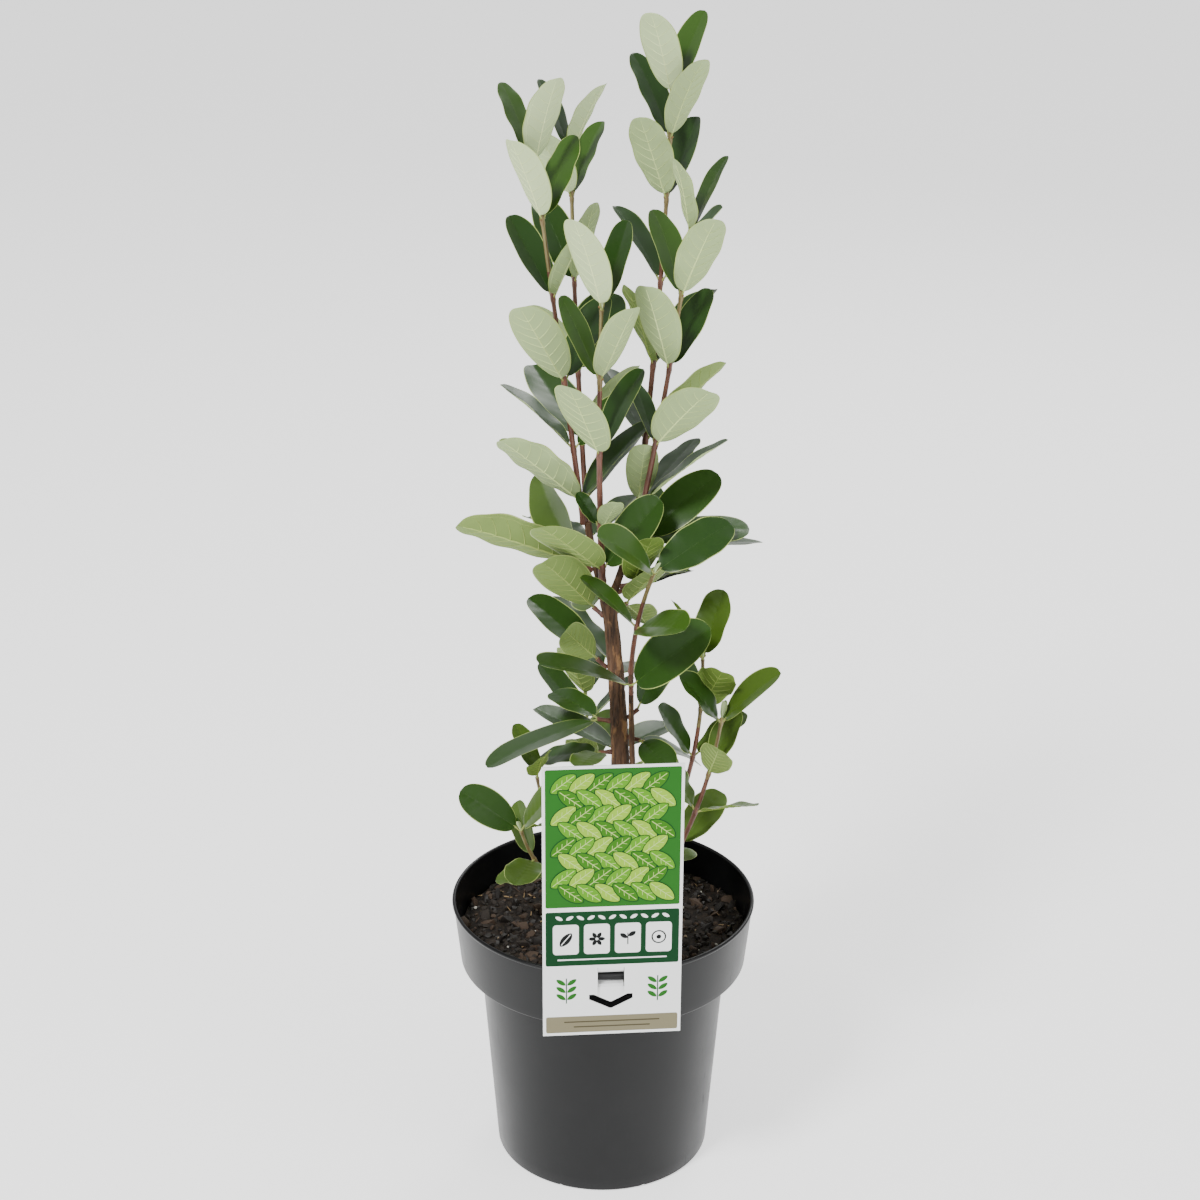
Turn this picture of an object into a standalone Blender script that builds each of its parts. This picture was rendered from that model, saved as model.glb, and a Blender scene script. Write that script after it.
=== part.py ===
"""A young pineapple guava, a bush with opposite oval leaves, growing in a round nursery pot.

The origin is the middle of the pot's underside, +Z is up and -Y is the front, where the
label hangs. Sizes and places below are in millimetres; new_object turns them into metres.
"""

import math
import random
from collections import namedtuple

import bmesh
import bpy
from mathutils import Vector
from mathutils.bvhtree import BVHTree

MM = 0.001
GAP = 0.3  # left between pieces that touch
WELD = 0.001  # points nearer than this are one point
UP = Vector((0, 0, 1))

# The pot, a thin moulded shell with a deep rim band
POT_HEIGHT = 184.0
RIM_RADIUS = 100.0
LIP_HEIGHT = 2.8
BAND_DEPTH = 43.4
BAND_FOOT_RADIUS = 94.8
SHOULDER_RADIUS = 81.8
FOOT_RADIUS = 71.5
WALL = 1.7
FLOOR = 4.0
RECESS_DEPTH = 2.0
RECESS_RADII = (20.0, 58.0)
POT_SIDES = 60
DRAIN_HOLES = 8
DRAIN_RADIUS = 4.5
DRAIN_CIRCLE = 67.0
SLOT_X = 4.9
SLOT_WIDTH = 22.0
SLOT_HEIGHT = 3.2
SLOT_TOP = 178.4

# The potting mix
SOIL_TOP = 162.0
SOIL_SIDES = 40
SOIL_RINGS = (9.0, 18.0, 27.0, 37.0, 48.0, 59.0, 70.0, 80.0, 89.0)
SOIL_LEVEL_RADIUS = 30.0  # flat round the stems
SOIL_LUMP = 2.0

# The label, hung on the lip by its tongue
LABEL_WIDTH = 86.4
LABEL_HEIGHT = 187.0
LABEL_THICKNESS = 0.6
LABEL_CENTRE = Vector((5.6, -103.05, 235.8))
LABEL_YAW = math.radians(4.7)
NECK_HALF = 8.1
HEAD_HALF = 13.4
HEAD_DROP = 3.5
HEAD_POINT = 10.0
HOLE_MARGIN = 0.25
HOLE_DROP = 4.0  # how far below the tongue its hole lies
TONGUE_ROUTE = (  # y and z of the tongue's middle, over the lip and out through the slot
    (-103.05, 196.0),
    (-103.05, 190.0),
    (-101.9, 187.4),
    (-100.2, 185.5),
    (-98.4, 184.7),
    (-96.2, 184.5),
    (-95.0, 182.6),
    (-94.8, 180.2),
    (-95.6, 178.0),
    (-97.6, 176.9),
    (-100.2, 176.4),
    (-101.2, 175.0),
)

# The trunk and the limbs
TRUNK_FOOT = Vector((12.0, 0.0, SOIL_TOP + GAP))
FORK = Vector((2.0, -2.0, 398.0))
TRUNK_GIRTH = (7.6, 4.4)
FLARE = 4.6
FLARE_HEIGHT = 9.0
FORK_SWELL = 1.4
TRUNK_SIDES = 14
TRUNK_RINGS = 22
LIMB_SIDES = 9
TWIG_SIDES = 6

SPUR_REACH = 8.0
SPUR_NODE = 7.0
SPUR_GIRTH = (1.3, 1.1)
SHOOT_RINGS = 12
SPUR_RINGS = 3

# Leaves
PETIOLE = 5.0
PETIOLE_HALF = 0.85
PETIOLE_DEPTH = (0.7, 0.62)  # half thickness at its foot and at the blade
LEAF_STATIONS = (0.1, 0.27, 0.48, 0.7, 0.87, 0.965)
LEAST_DEPTH, DEPTH_SHARE = 0.42, 0.0072  # half thickness of a blade, and its share of the length
YOUNG_SIZES = (0.42, 0.36)  # the two leaves of a young pair, against a grown one
TRIED_SIZES = (1.0, 0.86, 0.72)
TRIED_TURNS = (0, 14, -14, 28, -28, 42, -42)
CLEARANCE = 0.5  # how much a leaf is grown when it is tested against what is there
SEED = 41

Limb = namedtuple("Limb", "root bow tip girth rings")

# A shoot grows from its limb's tip, or from its side at a height. Its nodes are
# distances along the stem. Pairs of leaves turn by a right angle from node to node.
Shoot = namedtuple("Shoot", "limb height tip bow girth nodes turn spread leaf young seeds")

# A spur is a short side twig with one pair of leaves.
Spur = namedtuple("Spur", "limb height azimuth rise turn spread leaf second seed")

Leaf = namedtuple("Leaf", "foot along face petiole length width sag fold")

LIMBS = {
    "leader_bough": Limb(FORK + Vector((-1.6, -2.2, GAP)), (0, 0, 0), (-1.4, -5.6, 409), (2.7, 2.2), 3),
    "left_bough": Limb(FORK + Vector((-3.2, 2.4, GAP)), (-1.0, 0, 0), (-10.6, 0.6, 446), (2.0, 2.4), 7),
    "right_bough": Limb(FORK + Vector((3.1, 1.6, GAP)), (0.8, 0, 0), (17.5, 4.0, 440), (2.4, 2.4), 7),
    "second_stem": Limb((26.6, -7.2, SOIL_TOP + GAP), (-2.0, 2.0, 0), (16.8, -14.0, 351), (2.3, 1.7), 12),
}

SHOOTS = {
    "leader_shoot": Shoot(
        "leader_bough", None, (-2.7, -32, 590), (-1.6, -2, 0), (2.1, 1.1),
        (8, 37, 88, 137, 183), 225, (46, 18), (64, 54), (1,),
        (393, 2355, 1112, 799, 765)),
    "left_outer_shoot": Shoot(
        "left_bough", None, (-42, -6, 670), (0, 0, 0), (1.8, 1.0),
        (14, 48, 91, 144, 191, 225), 225, (46, 17), (64, 50), (),
        (1162, 607, 2471, 591, 52, 1013)),
    "left_inner_shoot": Shoot(
        "left_bough", None, (-21.6, 52, 664), (-1.8, 14, 0), (1.8, 1.0),
        (12, 47, 88, 144, 198, 230), 225, (46, 17), (64, 48), (),
        (0, 0, 1501, 620, 2169, 1830)),
    "right_back_shoot": Shoot(
        "right_bough", None, (39, 48, 700), (3.5, 18, 0), (1.9, 1.0),
        (14, 52, 98, 150, 202, 240, 272), 45, (44, 17), (64, 52), (),
        (7, 0, 996, 2425, 2490, 363, 1447)),
    "right_front_shoot": Shoot(
        "right_bough", None, (49, -10, 630), (2, -1, 0), (1.8, 1.0),
        (20, 57, 107, 153, 197), 225, (40, 19), (60, 48), (),
        (289, 1843, 1551, 851, 2464)),
    "second_shoot": Shoot(
        "second_stem", None, (30.1, -32, 425), (-2.6, 2, 0), (1.6, 1.2),
        (34, 79), 300, (58, 52), (52, 60), (),
        (641, 647)),
    "base_right_shoot": Shoot(
        "second_stem", 206, (62, -12, 359), (10, -2, -4), (1.9, 1.0),
        (92, 126, 160), 200, (48, 22), (40, 46), (),
        (2355, 1190, 437)),
    "base_front_right_shoot": Shoot(
        "second_stem", 186, (74, -32, 328), (6, -3, -5), (2.0, 1.0),
        (52, 82, 112, 148), 250, (58, 34), (42, 46), (),
        (0, 675, 333, 543)),
    "base_left_shoot": Shoot(
        "trunk", 180, (-53, -30, 247), (-8, 0, -10), (1.9, 1.0),
        (52, 72, 96), 0, (66, 46), (34, 46), (),
        (1516, 1740, 474)),
    "base_left_sprig": Shoot(
        "trunk", 200, (-43, -8, 274), (-8, 0, -12), (1.6, 0.9),
        (62, 93), 190, (50, 30), (26, 36), (),
        (0, 607)),
    "base_back_shoot": Shoot(
        "trunk", 188, (-12, 62, 300), (-4, 14, -12), (1.9, 1.0),
        (58, 88, 116, 138), 160, (58, 30), (40, 46), (),
        (0, 0, 0, 0)),
}

SPURS = {
    "trunk_spur_low_left": Spur("trunk", 290, 195, 2, 299, 56, 46, 1.1, 363),
    "trunk_spur_low_right": Spur("trunk", 300, -17, -8, 234, 50, 44, 1.2, 1306),
    "trunk_spur_low_back": Spur("trunk", 282, 100, 14, 10, 48, 56, 1.0, 0),
    "trunk_spur_left": Spur("trunk", 311, 173, 6, 248, 38, 78, 0.6, 872),
    "trunk_spur_right": Spur("trunk", 313, 9, 40, 306, 32, 74, 0.8, 1786),
    "trunk_spur_back": Spur("trunk", 336, 82, 30, 20, 46, 60, 1.0, 0),
    "trunk_spur_mid_left": Spur("trunk", 350, 186, 47, 286, 22, 46, 1.3, 784),
    "trunk_spur_high_left": Spur("trunk", 384, 150, 31, 281, 60, 66, 0.72, 2409),
    "trunk_spur_high_right": Spur("trunk", 386, 32, 29, 254, 66, 62, 0.66, 1270),
    "second_spur_front": Spur("second_stem", 338, -90, 62, 192, 45, 76, 0.8, 1294),
    "left_spur_low": Spur("left_bough", 415, 176, 36, 233, 25, 76, 0.85, 325),
    "left_spur_back": Spur("left_bough", 428, 105, 34, 20, 42, 60, 0.95, 0),
    "right_spur_low": Spur("right_bough", 405, -12, 19, 211, 52, 54, 1.0, 279),
    "right_spur_back": Spur("right_bough", 416, 40, 24, 352, 30, 74, 0.8, 281),
    "right_spur_low_back": Spur("right_bough", 401, 14, 4, 300, 24, 66, 0.8, 437),
    "right_spur_high": Spur("right_bough", 431, 3, 34, 296, 20, 66, 0.86, 1825),
}


def clear_scene():
    for obj in list(bpy.data.objects):
        bpy.data.objects.remove(obj)


def finish(name, colour, roughness):
    material = bpy.data.materials.new(name)
    material.use_nodes = True
    shader = material.node_tree.nodes["Principled BSDF"]
    shader.inputs["Base Color"].default_value = (*colour, 1)
    shader.inputs["Roughness"].default_value = roughness
    shader.inputs["Metallic"].default_value = 0
    return material


def new_object(name, points, faces, material, smooth=True):
    mesh = bpy.data.meshes.new(name)
    mesh.from_pydata([Vector(p) * MM for p in points], [], faces)
    shape = bmesh.new()
    shape.from_mesh(mesh)
    bmesh.ops.recalc_face_normals(shape, faces=shape.faces)
    shape.to_mesh(mesh)
    shape.free()
    mesh.materials.append(material)
    if smooth:
        mesh.shade_smooth()
        mesh.set_sharp_from_angle(angle=math.radians(50))
    obj = bpy.data.objects.new(name, mesh)
    bpy.context.scene.collection.objects.link(obj)
    return obj


def apply_modifiers(obj):
    graph = bpy.context.evaluated_depsgraph_get()
    mesh = bpy.data.meshes.new_from_object(obj.evaluated_get(graph))
    obj.modifiers.clear()
    obj.data = mesh


def cut(obj, cutters):
    """Take each cutter out of the object, then remove the cutters."""
    for cutter in cutters:
        boolean = obj.modifiers.new("cut", "BOOLEAN")
        boolean.operation = "DIFFERENCE"
        boolean.object = cutter
    apply_modifiers(obj)
    for cutter in cutters:
        bpy.data.objects.remove(cutter)


def unite(obj, pieces, solver):
    """One union of the object with a collection that holds the pieces."""
    group = bpy.data.collections.new("pieces to join")
    bpy.context.scene.collection.children.link(group)
    for piece in pieces:
        group.objects.link(piece)
    boolean = obj.modifiers.new("join", "BOOLEAN")
    boolean.operation = "UNION"
    boolean.solver = solver
    boolean.operand_type = "COLLECTION"
    boolean.collection = group
    apply_modifiers(obj)
    bpy.data.collections.remove(group)


def is_sound(obj):
    """Whether each edge of the skin joins two faces, once points that coincide are merged."""
    shape = bmesh.new()
    shape.from_mesh(obj.data)
    bmesh.ops.remove_doubles(shape, verts=shape.verts, dist=WELD * MM)
    sound = all(len(edge.link_faces) == 2 for edge in shape.edges)
    shape.free()
    return sound


def join(obj, pieces):
    """The object and the pieces as one closed skin, by the second solver where the first fails."""
    alone = obj.data.copy()
    for solver in ("EXACT", "MANIFOLD"):
        obj.data = alone.copy()
        unite(obj, pieces, solver)
        keep_outer_skin(obj)
        if is_sound(obj):
            break
    for piece in pieces:
        bpy.data.objects.remove(piece)


def keep_outer_skin(obj):
    """Fill any hollow that a union sealed and drop loose scraps: the widest shell stays."""
    shape = bmesh.new()
    shape.from_mesh(obj.data)
    waiting = set(shape.faces)
    shells = []
    while waiting:
        shell, found = set(), [waiting.pop()]
        while found:
            face = found.pop()
            shell.add(face)
            near = {other for edge in face.edges for other in edge.link_faces} & waiting
            waiting -= near
            found += near
        shells.append(shell)
    widest = max(shells, key=len)
    spare = [face for shell in shells if shell is not widest for face in shell]
    bmesh.ops.delete(shape, geom=spare, context="FACES")
    shape.to_mesh(obj.data)
    shape.free()


def ring_faces(count, sides):
    """Quads between rings of points, with a cap on the first ring and on the last."""
    faces = [tuple(range(sides))]
    for ring in range(count - 1):
        a, b = ring * sides, (ring + 1) * sides
        faces += [(a + k, a + (k + 1) % sides, b + (k + 1) % sides, b + k) for k in range(sides)]
    faces.append(tuple(range((count - 1) * sides, count * sides)))
    return faces


def turned(profile, sides):
    """A solid of revolution. The profile's first and last points are on the axis."""
    points = [(0, 0, profile[0][1])]
    for radius, z in profile[1:-1]:
        for k in range(sides):
            angle = 2 * math.pi * k / sides
            points.append((radius * math.cos(angle), radius * math.sin(angle), z))
    points.append((0, 0, profile[-1][1]))
    rings = len(profile) - 2
    faces = []
    for k in range(sides):
        following = (k + 1) % sides
        faces.append((0, 1 + following, 1 + k))
        for ring in range(rings - 1):
            a, b = 1 + ring * sides, 1 + (ring + 1) * sides
            faces.append((a + k, a + following, b + following, b + k))
        last = 1 + (rings - 1) * sides
        faces.append((last + k, last + following, len(points) - 1))
    return points, faces


def block(low, high):
    corners = [(x, y, z) for z in (low[2], high[2]) for x, y in (
        (low[0], low[1]), (high[0], low[1]), (high[0], high[1]), (low[0], high[1]))]
    return corners, ring_faces(2, 4)


def inner_radius(z):
    """The inside of the pot's wall, in the rim band or below it."""
    band_foot = POT_HEIGHT - BAND_DEPTH
    if z > band_foot + WALL:
        share = (z - band_foot) / BAND_DEPTH
        return BAND_FOOT_RADIUS + share * (RIM_RADIUS - 0.8 - BAND_FOOT_RADIUS) - WALL
    return FOOT_RADIUS + (z / band_foot) * (SHOULDER_RADIUS - FOOT_RADIUS) - WALL


def pot_profile():
    band_foot = POT_HEIGHT - BAND_DEPTH
    recess_in, recess_out = RECESS_RADII
    underside = [
        (0, 0), (recess_in, 0), (recess_in + 1, RECESS_DEPTH), (recess_out, RECESS_DEPTH),
        (recess_out + 1, 0), (FOOT_RADIUS - 1.6, 0), (FOOT_RADIUS, 1.6)]
    outside = [
        (SHOULDER_RADIUS, band_foot - 1.5), (SHOULDER_RADIUS + 1.2, band_foot - 0.4),
        (BAND_FOOT_RADIUS - 1.4, band_foot), (BAND_FOOT_RADIUS, band_foot + 1.4),
        (RIM_RADIUS - 0.8, POT_HEIGHT - LIP_HEIGHT), (RIM_RADIUS, POT_HEIGHT - LIP_HEIGHT + 0.8),
        (RIM_RADIUS, POT_HEIGHT - 0.8), (RIM_RADIUS - 0.8, POT_HEIGHT)]
    inside = [
        (RIM_RADIUS - 2.0, POT_HEIGHT), (RIM_RADIUS - 2.8, POT_HEIGHT - 0.9),
        (inner_radius(POT_HEIGHT - LIP_HEIGHT), POT_HEIGHT - LIP_HEIGHT),
        (inner_radius(band_foot + WALL + 1.2), band_foot + WALL + 1.2),
        (inner_radius(band_foot + WALL + 1.2) - 1.2, band_foot + WALL),
        (SHOULDER_RADIUS - WALL + 1.2, band_foot + WALL),
        (inner_radius(band_foot), band_foot + WALL - 1.4),
        (inner_radius(FLOOR + 1.2), FLOOR + 1.2), (inner_radius(FLOOR) - 1.2, FLOOR), (0, FLOOR)]
    return underside + outside + inside


def drain_cutter(number):
    """A round hole through the corner of floor and wall."""
    angle = 2 * math.pi * (number + 0.5) / DRAIN_HOLES
    middle = Vector((math.cos(angle), math.sin(angle), 0)) * DRAIN_CIRCLE
    rings = []
    for z in (-3.0, FLOOR + 3.0):
        for k in range(10):
            turn = 2 * math.pi * k / 10
            rings.append(middle + Vector((math.cos(turn), math.sin(turn), 0)) * DRAIN_RADIUS + UP * z)
    return new_object("drain cutter", rings, ring_faces(2, 10), None)


def make_pot(material):
    pot = new_object("pot", *turned(pot_profile(), POT_SIDES), material)
    low = (SLOT_X - SLOT_WIDTH / 2, -RIM_RADIUS - 5, SLOT_TOP - SLOT_HEIGHT)
    high = (SLOT_X + SLOT_WIDTH / 2, -RIM_RADIUS + 12, SLOT_TOP)
    slot = new_object("slot cutter", *block(low, high), None)
    cut(pot, [slot] + [drain_cutter(number) for number in range(DRAIN_HOLES)])
    return pot


def soil_height(radius, angle, rng):
    """Flat round the stems, lumpy beyond, and a little lower at the wall."""
    if radius <= SOIL_LEVEL_RADIUS:
        return SOIL_TOP
    share = (radius - SOIL_LEVEL_RADIUS) / (SOIL_RINGS[-1] - SOIL_LEVEL_RADIUS)
    wave = math.sin(3 * angle + radius / 11) + math.cos(5 * angle - radius / 17)
    return SOIL_TOP - 1.5 * share + SOIL_LUMP * (0.4 * wave + rng.uniform(-0.6, 0.6))


def make_soil(material):
    rng = random.Random(SEED)
    band_foot = POT_HEIGHT - BAND_DEPTH
    wall_top = SOIL_TOP - 4
    down_the_wall = [
        (inner_radius(wall_top) - GAP, wall_top),
        (inner_radius(band_foot + WALL + 1.2) - GAP, band_foot + WALL + 1.2),
        (inner_radius(band_foot + WALL + 1.2) - 1.5, band_foot + WALL + GAP),
        (SHOULDER_RADIUS - WALL + 0.8, band_foot + WALL + GAP),
        (inner_radius(band_foot) - GAP, band_foot + WALL - 1.4),
        (inner_radius(FLOOR + 1.2) - GAP, FLOOR + 1.2),
        (inner_radius(FLOOR) - 1.5, FLOOR + GAP),
        (0, FLOOR + GAP)]
    profile = [(0, SOIL_TOP)] + [(radius, SOIL_TOP) for radius in SOIL_RINGS] + down_the_wall
    points, faces = turned(profile, SOIL_SIDES)
    for ring, radius in enumerate(SOIL_RINGS):
        for k in range(SOIL_SIDES):
            number = 1 + ring * SOIL_SIDES + k
            x, y, _ = points[number]
            points[number] = (x, y, soil_height(radius, 2 * math.pi * k / SOIL_SIDES, rng))
    return new_object("soil", points, faces, material)


def arrow_outline(neck_top, shoulder, margin):
    """The tongue's outline: a neck with an arrow head that points down."""
    neck, head = NECK_HALF + margin, HEAD_HALF + margin
    point = shoulder - HEAD_POINT - margin
    side = shoulder - HEAD_DROP
    return [(-neck, neck_top), (-neck, shoulder), (-head, shoulder), (-head, side), (-0.6, point),
            (0.6, point), (head, side), (head, shoulder), (neck, shoulder), (neck, neck_top)]


def label_hole():
    outline = arrow_outline(TONGUE_ROUTE[1][1], TONGUE_ROUTE[-1][1] - HOLE_DROP, HOLE_MARGIN)
    points = [(SLOT_X + x, LABEL_CENTRE.y + y, z) for y in (-3, 3) for x, z in outline]
    return new_object("label cutter", points, ring_faces(2, len(outline)), None)


def tongue():
    """The strip over the lip, with the arrow head hanging in front of the band."""
    y, shoulder = TONGUE_ROUTE[-1]
    stations = [(*place, NECK_HALF) for place in TONGUE_ROUTE]
    stations += [(y, shoulder - 0.3, HEAD_HALF), (y - 0.3, shoulder - HEAD_DROP, HEAD_HALF),
                 (y - 0.6, shoulder - HEAD_POINT, 0.6)]
    points = []
    for number, (y, z, half) in enumerate(stations):
        before = stations[max(number - 1, 0)]
        after = stations[min(number + 1, len(stations) - 1)]
        along = Vector((0, after[0] - before[0], after[1] - before[1])).normalized()
        across = Vector((0, -along.z, along.y)) * LABEL_THICKNESS / 2
        middle = Vector((SLOT_X, y, z))
        left, right = Vector((-half, 0, 0)), Vector((half, 0, 0))
        points += [middle + left - across, middle + right - across,
                   middle + right + across, middle + left + across]
    return new_object("label tongue", points, ring_faces(len(stations), 4), None)


def make_label(material):
    half = Vector((LABEL_WIDTH, LABEL_THICKNESS, LABEL_HEIGHT)) / 2
    label = new_object("label", *block(LABEL_CENTRE - half, LABEL_CENTRE + half), material, False)
    cut(label, [label_hole()])
    join(label, [tongue()])
    pivot = LABEL_CENTRE * MM
    for vertex in label.data.vertices:
        offset = vertex.co - pivot
        turned_x = offset.x * math.cos(LABEL_YAW) - offset.y * math.sin(LABEL_YAW)
        turned_y = offset.x * math.sin(LABEL_YAW) + offset.y * math.cos(LABEL_YAW)
        vertex.co = pivot + Vector((turned_x, turned_y, offset.z))
    return label


def frame_along(direction):
    """Two sideways directions that turn with a stem without twisting."""
    turn = UP.rotation_difference(direction)
    return turn @ Vector((1, 0, 0)), turn @ Vector((0, 1, 0))


def bowed(root, bow, tip, share):
    return root + (tip - root) * share + Vector(bow) * 4 * share * (1 - share)


def bowed_direction(root, bow, tip, share):
    return (tip - root + Vector(bow) * 4 * (1 - 2 * share)).normalized()


def tube(stations, sides, name, material, level_ends):
    """A closed tube through stations of a middle, a direction and a radius for each side."""
    points = []
    for number, (middle, direction, radii) in enumerate(stations):
        if level_ends and number in (0, len(stations) - 1):
            direction = UP
        x, y = frame_along(direction)
        for k in range(sides):
            angle = 2 * math.pi * k / sides
            points.append(middle + (x * math.cos(angle) + y * math.sin(angle)) * radii[k])
    return new_object(name, points, ring_faces(len(stations), sides), material)


def trunk_share(z):
    return (z - TRUNK_FOOT.z) / (FORK.z - TRUNK_FOOT.z)


def trunk_middle(z):
    """The trunk leans more and more to the left as it rises."""
    share = trunk_share(z)
    return Vector((
        TRUNK_FOOT.x + (FORK.x - TRUNK_FOOT.x) * share ** 3,
        TRUNK_FOOT.y + (FORK.y - TRUNK_FOOT.y) * share ** 2, z))


def trunk_radius(z, angle=0.0):
    share = trunk_share(z)
    low, high = TRUNK_GIRTH
    flare = FLARE * math.exp(-(z - TRUNK_FOOT.z) / FLARE_HEIGHT) * (1 + 0.3 * math.cos(4 * angle + 1))
    swell = FORK_SWELL * max(0.0, (share - 0.93) / 0.07)
    return low + (high - low) * share + flare + swell


def make_trunk(material):
    stations = []
    for ring in range(TRUNK_RINGS):
        share = ring / (TRUNK_RINGS - 1)
        z = TRUNK_FOOT.z + (FORK.z - TRUNK_FOOT.z) * share ** 1.25
        ahead = trunk_middle(z + 1) - trunk_middle(z)
        radii = [trunk_radius(z, 2 * math.pi * k / TRUNK_SIDES) for k in range(TRUNK_SIDES)]
        stations.append((trunk_middle(z), ahead.normalized(), radii))
    return tube(stations, TRUNK_SIDES, "trunk", material, True)


def stem_stations(root, bow, tip, girth, rings, sides):
    stations = []
    for ring in range(rings):
        share = ring / (rings - 1)
        radius = girth[0] + (girth[1] - girth[0]) * share
        middle = bowed(root, bow, tip, share)
        stations.append((middle, bowed_direction(root, bow, tip, share), [radius] * sides))
    return stations


def make_limb(name, material):
    limb = LIMBS[name]
    ends = Vector(limb.root), limb.bow, Vector(limb.tip)
    return tube(stem_stations(*ends, limb.girth, limb.rings, LIMB_SIDES), LIMB_SIDES, name, material, True)


def limb_at(name, z):
    """The middle, direction and radius of a limb at a height."""
    if name == "trunk":
        return trunk_middle(z), (trunk_middle(z + 1) - trunk_middle(z)).normalized(), trunk_radius(z)
    limb = LIMBS[name]
    root, tip = Vector(limb.root), Vector(limb.tip)
    share = (z - root.z) / (tip.z - root.z)
    radius = limb.girth[0] + (limb.girth[1] - limb.girth[0]) * share
    return bowed(root, limb.bow, tip, share), bowed_direction(root, limb.bow, tip, share), radius


def side_root(limb, height, direction, girth):
    """Where a twig starts that leaves a limb's side in a direction, clear of its bark."""
    middle, limb_direction, radius = limb_at(limb, height)
    outward = direction - limb_direction * direction.dot(limb_direction)
    clear = radius + GAP + girth * abs(direction.dot(limb_direction))
    return middle + outward.normalized() * clear


def shoot_stem(shoot):
    """The ends and bow of a shoot's stem, and whether its foot is cut level."""
    tip = Vector(shoot.tip)
    if shoot.height is None:
        seat = Vector(LIMBS[shoot.limb].tip)
        outward = Vector((tip.x - seat.x, tip.y - seat.y, 0)).normalized()
        sharing = sum(other.limb == shoot.limb and other.height is None for other in SHOOTS.values())
        aside = 1.6 * shoot.girth[0] * (sharing > 1)
        return seat + outward * aside + UP * GAP, shoot.bow, tip
    middle, _, _ = limb_at(shoot.limb, shoot.height)
    direction = bowed_direction(middle, shoot.bow, tip, 0)
    return side_root(shoot.limb, shoot.height, direction, shoot.girth[0]), shoot.bow, tip


def spur_as_shoot(spur):
    azimuth, rise = math.radians(spur.azimuth), math.radians(spur.rise)
    level = Vector((math.cos(azimuth), math.sin(azimuth), 0))
    direction = level * math.cos(rise) + UP * math.sin(rise)
    root = side_root(spur.limb, spur.height, direction, SPUR_GIRTH[0])
    shoot = Shoot(
        spur.limb, spur.height, root + direction * SPUR_REACH, (0, 0, 0), SPUR_GIRTH, (SPUR_NODE,),
        spur.turn, (spur.spread, spur.spread), (spur.leaf, spur.leaf * spur.second), (), (spur.seed,))
    return shoot, (root, (0, 0, 0), shoot.tip)


def stem_length(root, bow, tip, parts=24):
    places = [bowed(root, bow, tip, part / parts) for part in range(parts + 1)]
    return sum((b - a).length for a, b in zip(places, places[1:]))


def grow_leaf(place, direction, turn, spread, length, rng):
    """One leaf at a node. Its upper face looks at an upright stem, and at the sky from a level one."""
    x, y = frame_along(direction)
    angle = math.radians(turn + rng.uniform(-14, 14))
    open_angle = math.radians(spread + rng.uniform(-7, 7))
    outward = x * math.cos(angle) + y * math.sin(angle)
    along = direction * math.cos(open_angle) + outward * math.sin(open_angle)
    face = direction * math.sin(open_angle) - outward * math.cos(open_angle)
    level = max(0.0, 1 - direction.z) ** 0.7
    face = face * (1 - level) + UP * level
    face = (face - along * face.dot(along)).normalized()
    roll = math.radians(rng.uniform(-32, 32))
    face = face * math.cos(roll) + face.cross(along) * math.sin(roll)
    size = length * rng.uniform(0.9, 1.08)
    width = min(size, 46 + 0.3 * size) * rng.uniform(0.47, 0.57)
    return Leaf(place, along, face, PETIOLE, size, width, rng.uniform(0.0, 0.14), rng.uniform(0.04, 0.3))


def leaf_half_width(leaf, share):
    """An oval, fullest a little past the middle, with a round end."""
    oval = 2 * math.sqrt(share * (1 - share))
    return leaf.width / 2 * oval ** 0.9 * (0.88 + 0.22 * share)


def leaf_rings(leaf, grow, whole):
    """Four-sided rings from the petiole's foot, or its end, to near the leaf's end, and the end itself."""
    side = leaf.face.cross(leaf.along)

    def ring(distance, half, thick):
        share = max(0.0, distance - leaf.petiole) / leaf.length
        middle = leaf.foot + leaf.along * distance - leaf.face * leaf.sag * leaf.length * share ** 2
        edge = leaf.face * leaf.fold * half
        half += grow
        thick += grow
        return [middle - side * half + edge, middle + leaf.face * thick,
                middle + side * half + edge, middle - leaf.face * thick]

    thick = max(LEAST_DEPTH, DEPTH_SHARE * leaf.length)
    rings = [ring(0, PETIOLE_HALF, PETIOLE_DEPTH[0])] if whole else []
    rings.append(ring(leaf.petiole, PETIOLE_HALF, PETIOLE_DEPTH[1]))
    for share in LEAF_STATIONS:
        distance = leaf.petiole + leaf.length * share
        rings.append(ring(distance, leaf_half_width(leaf, share), thick * (1 - 0.5 * share)))
    end = ring(leaf.petiole + leaf.length + grow, 0, 0)
    return rings, (end[1] + end[3]) / 2


def leaf_mesh(leaf, grow=0.0, whole=True):
    rings, end = leaf_rings(leaf, grow, whole)
    points = [corner for ring in rings for corner in ring] + [end]
    faces = ring_faces(len(rings), 4)[:-1]
    last = (len(rings) - 1) * 4
    faces += [(last + k, last + (k + 1) % 4, len(points) - 1) for k in range(4)]
    return points, faces


def tree_of(points, faces):
    return BVHTree.FromPolygons([Vector(p) for p in points], faces)


def tree_of_object(obj):
    points = [vertex.co / MM for vertex in obj.data.vertices]
    return tree_of(points, [tuple(face.vertices) for face in obj.data.polygons])


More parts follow.
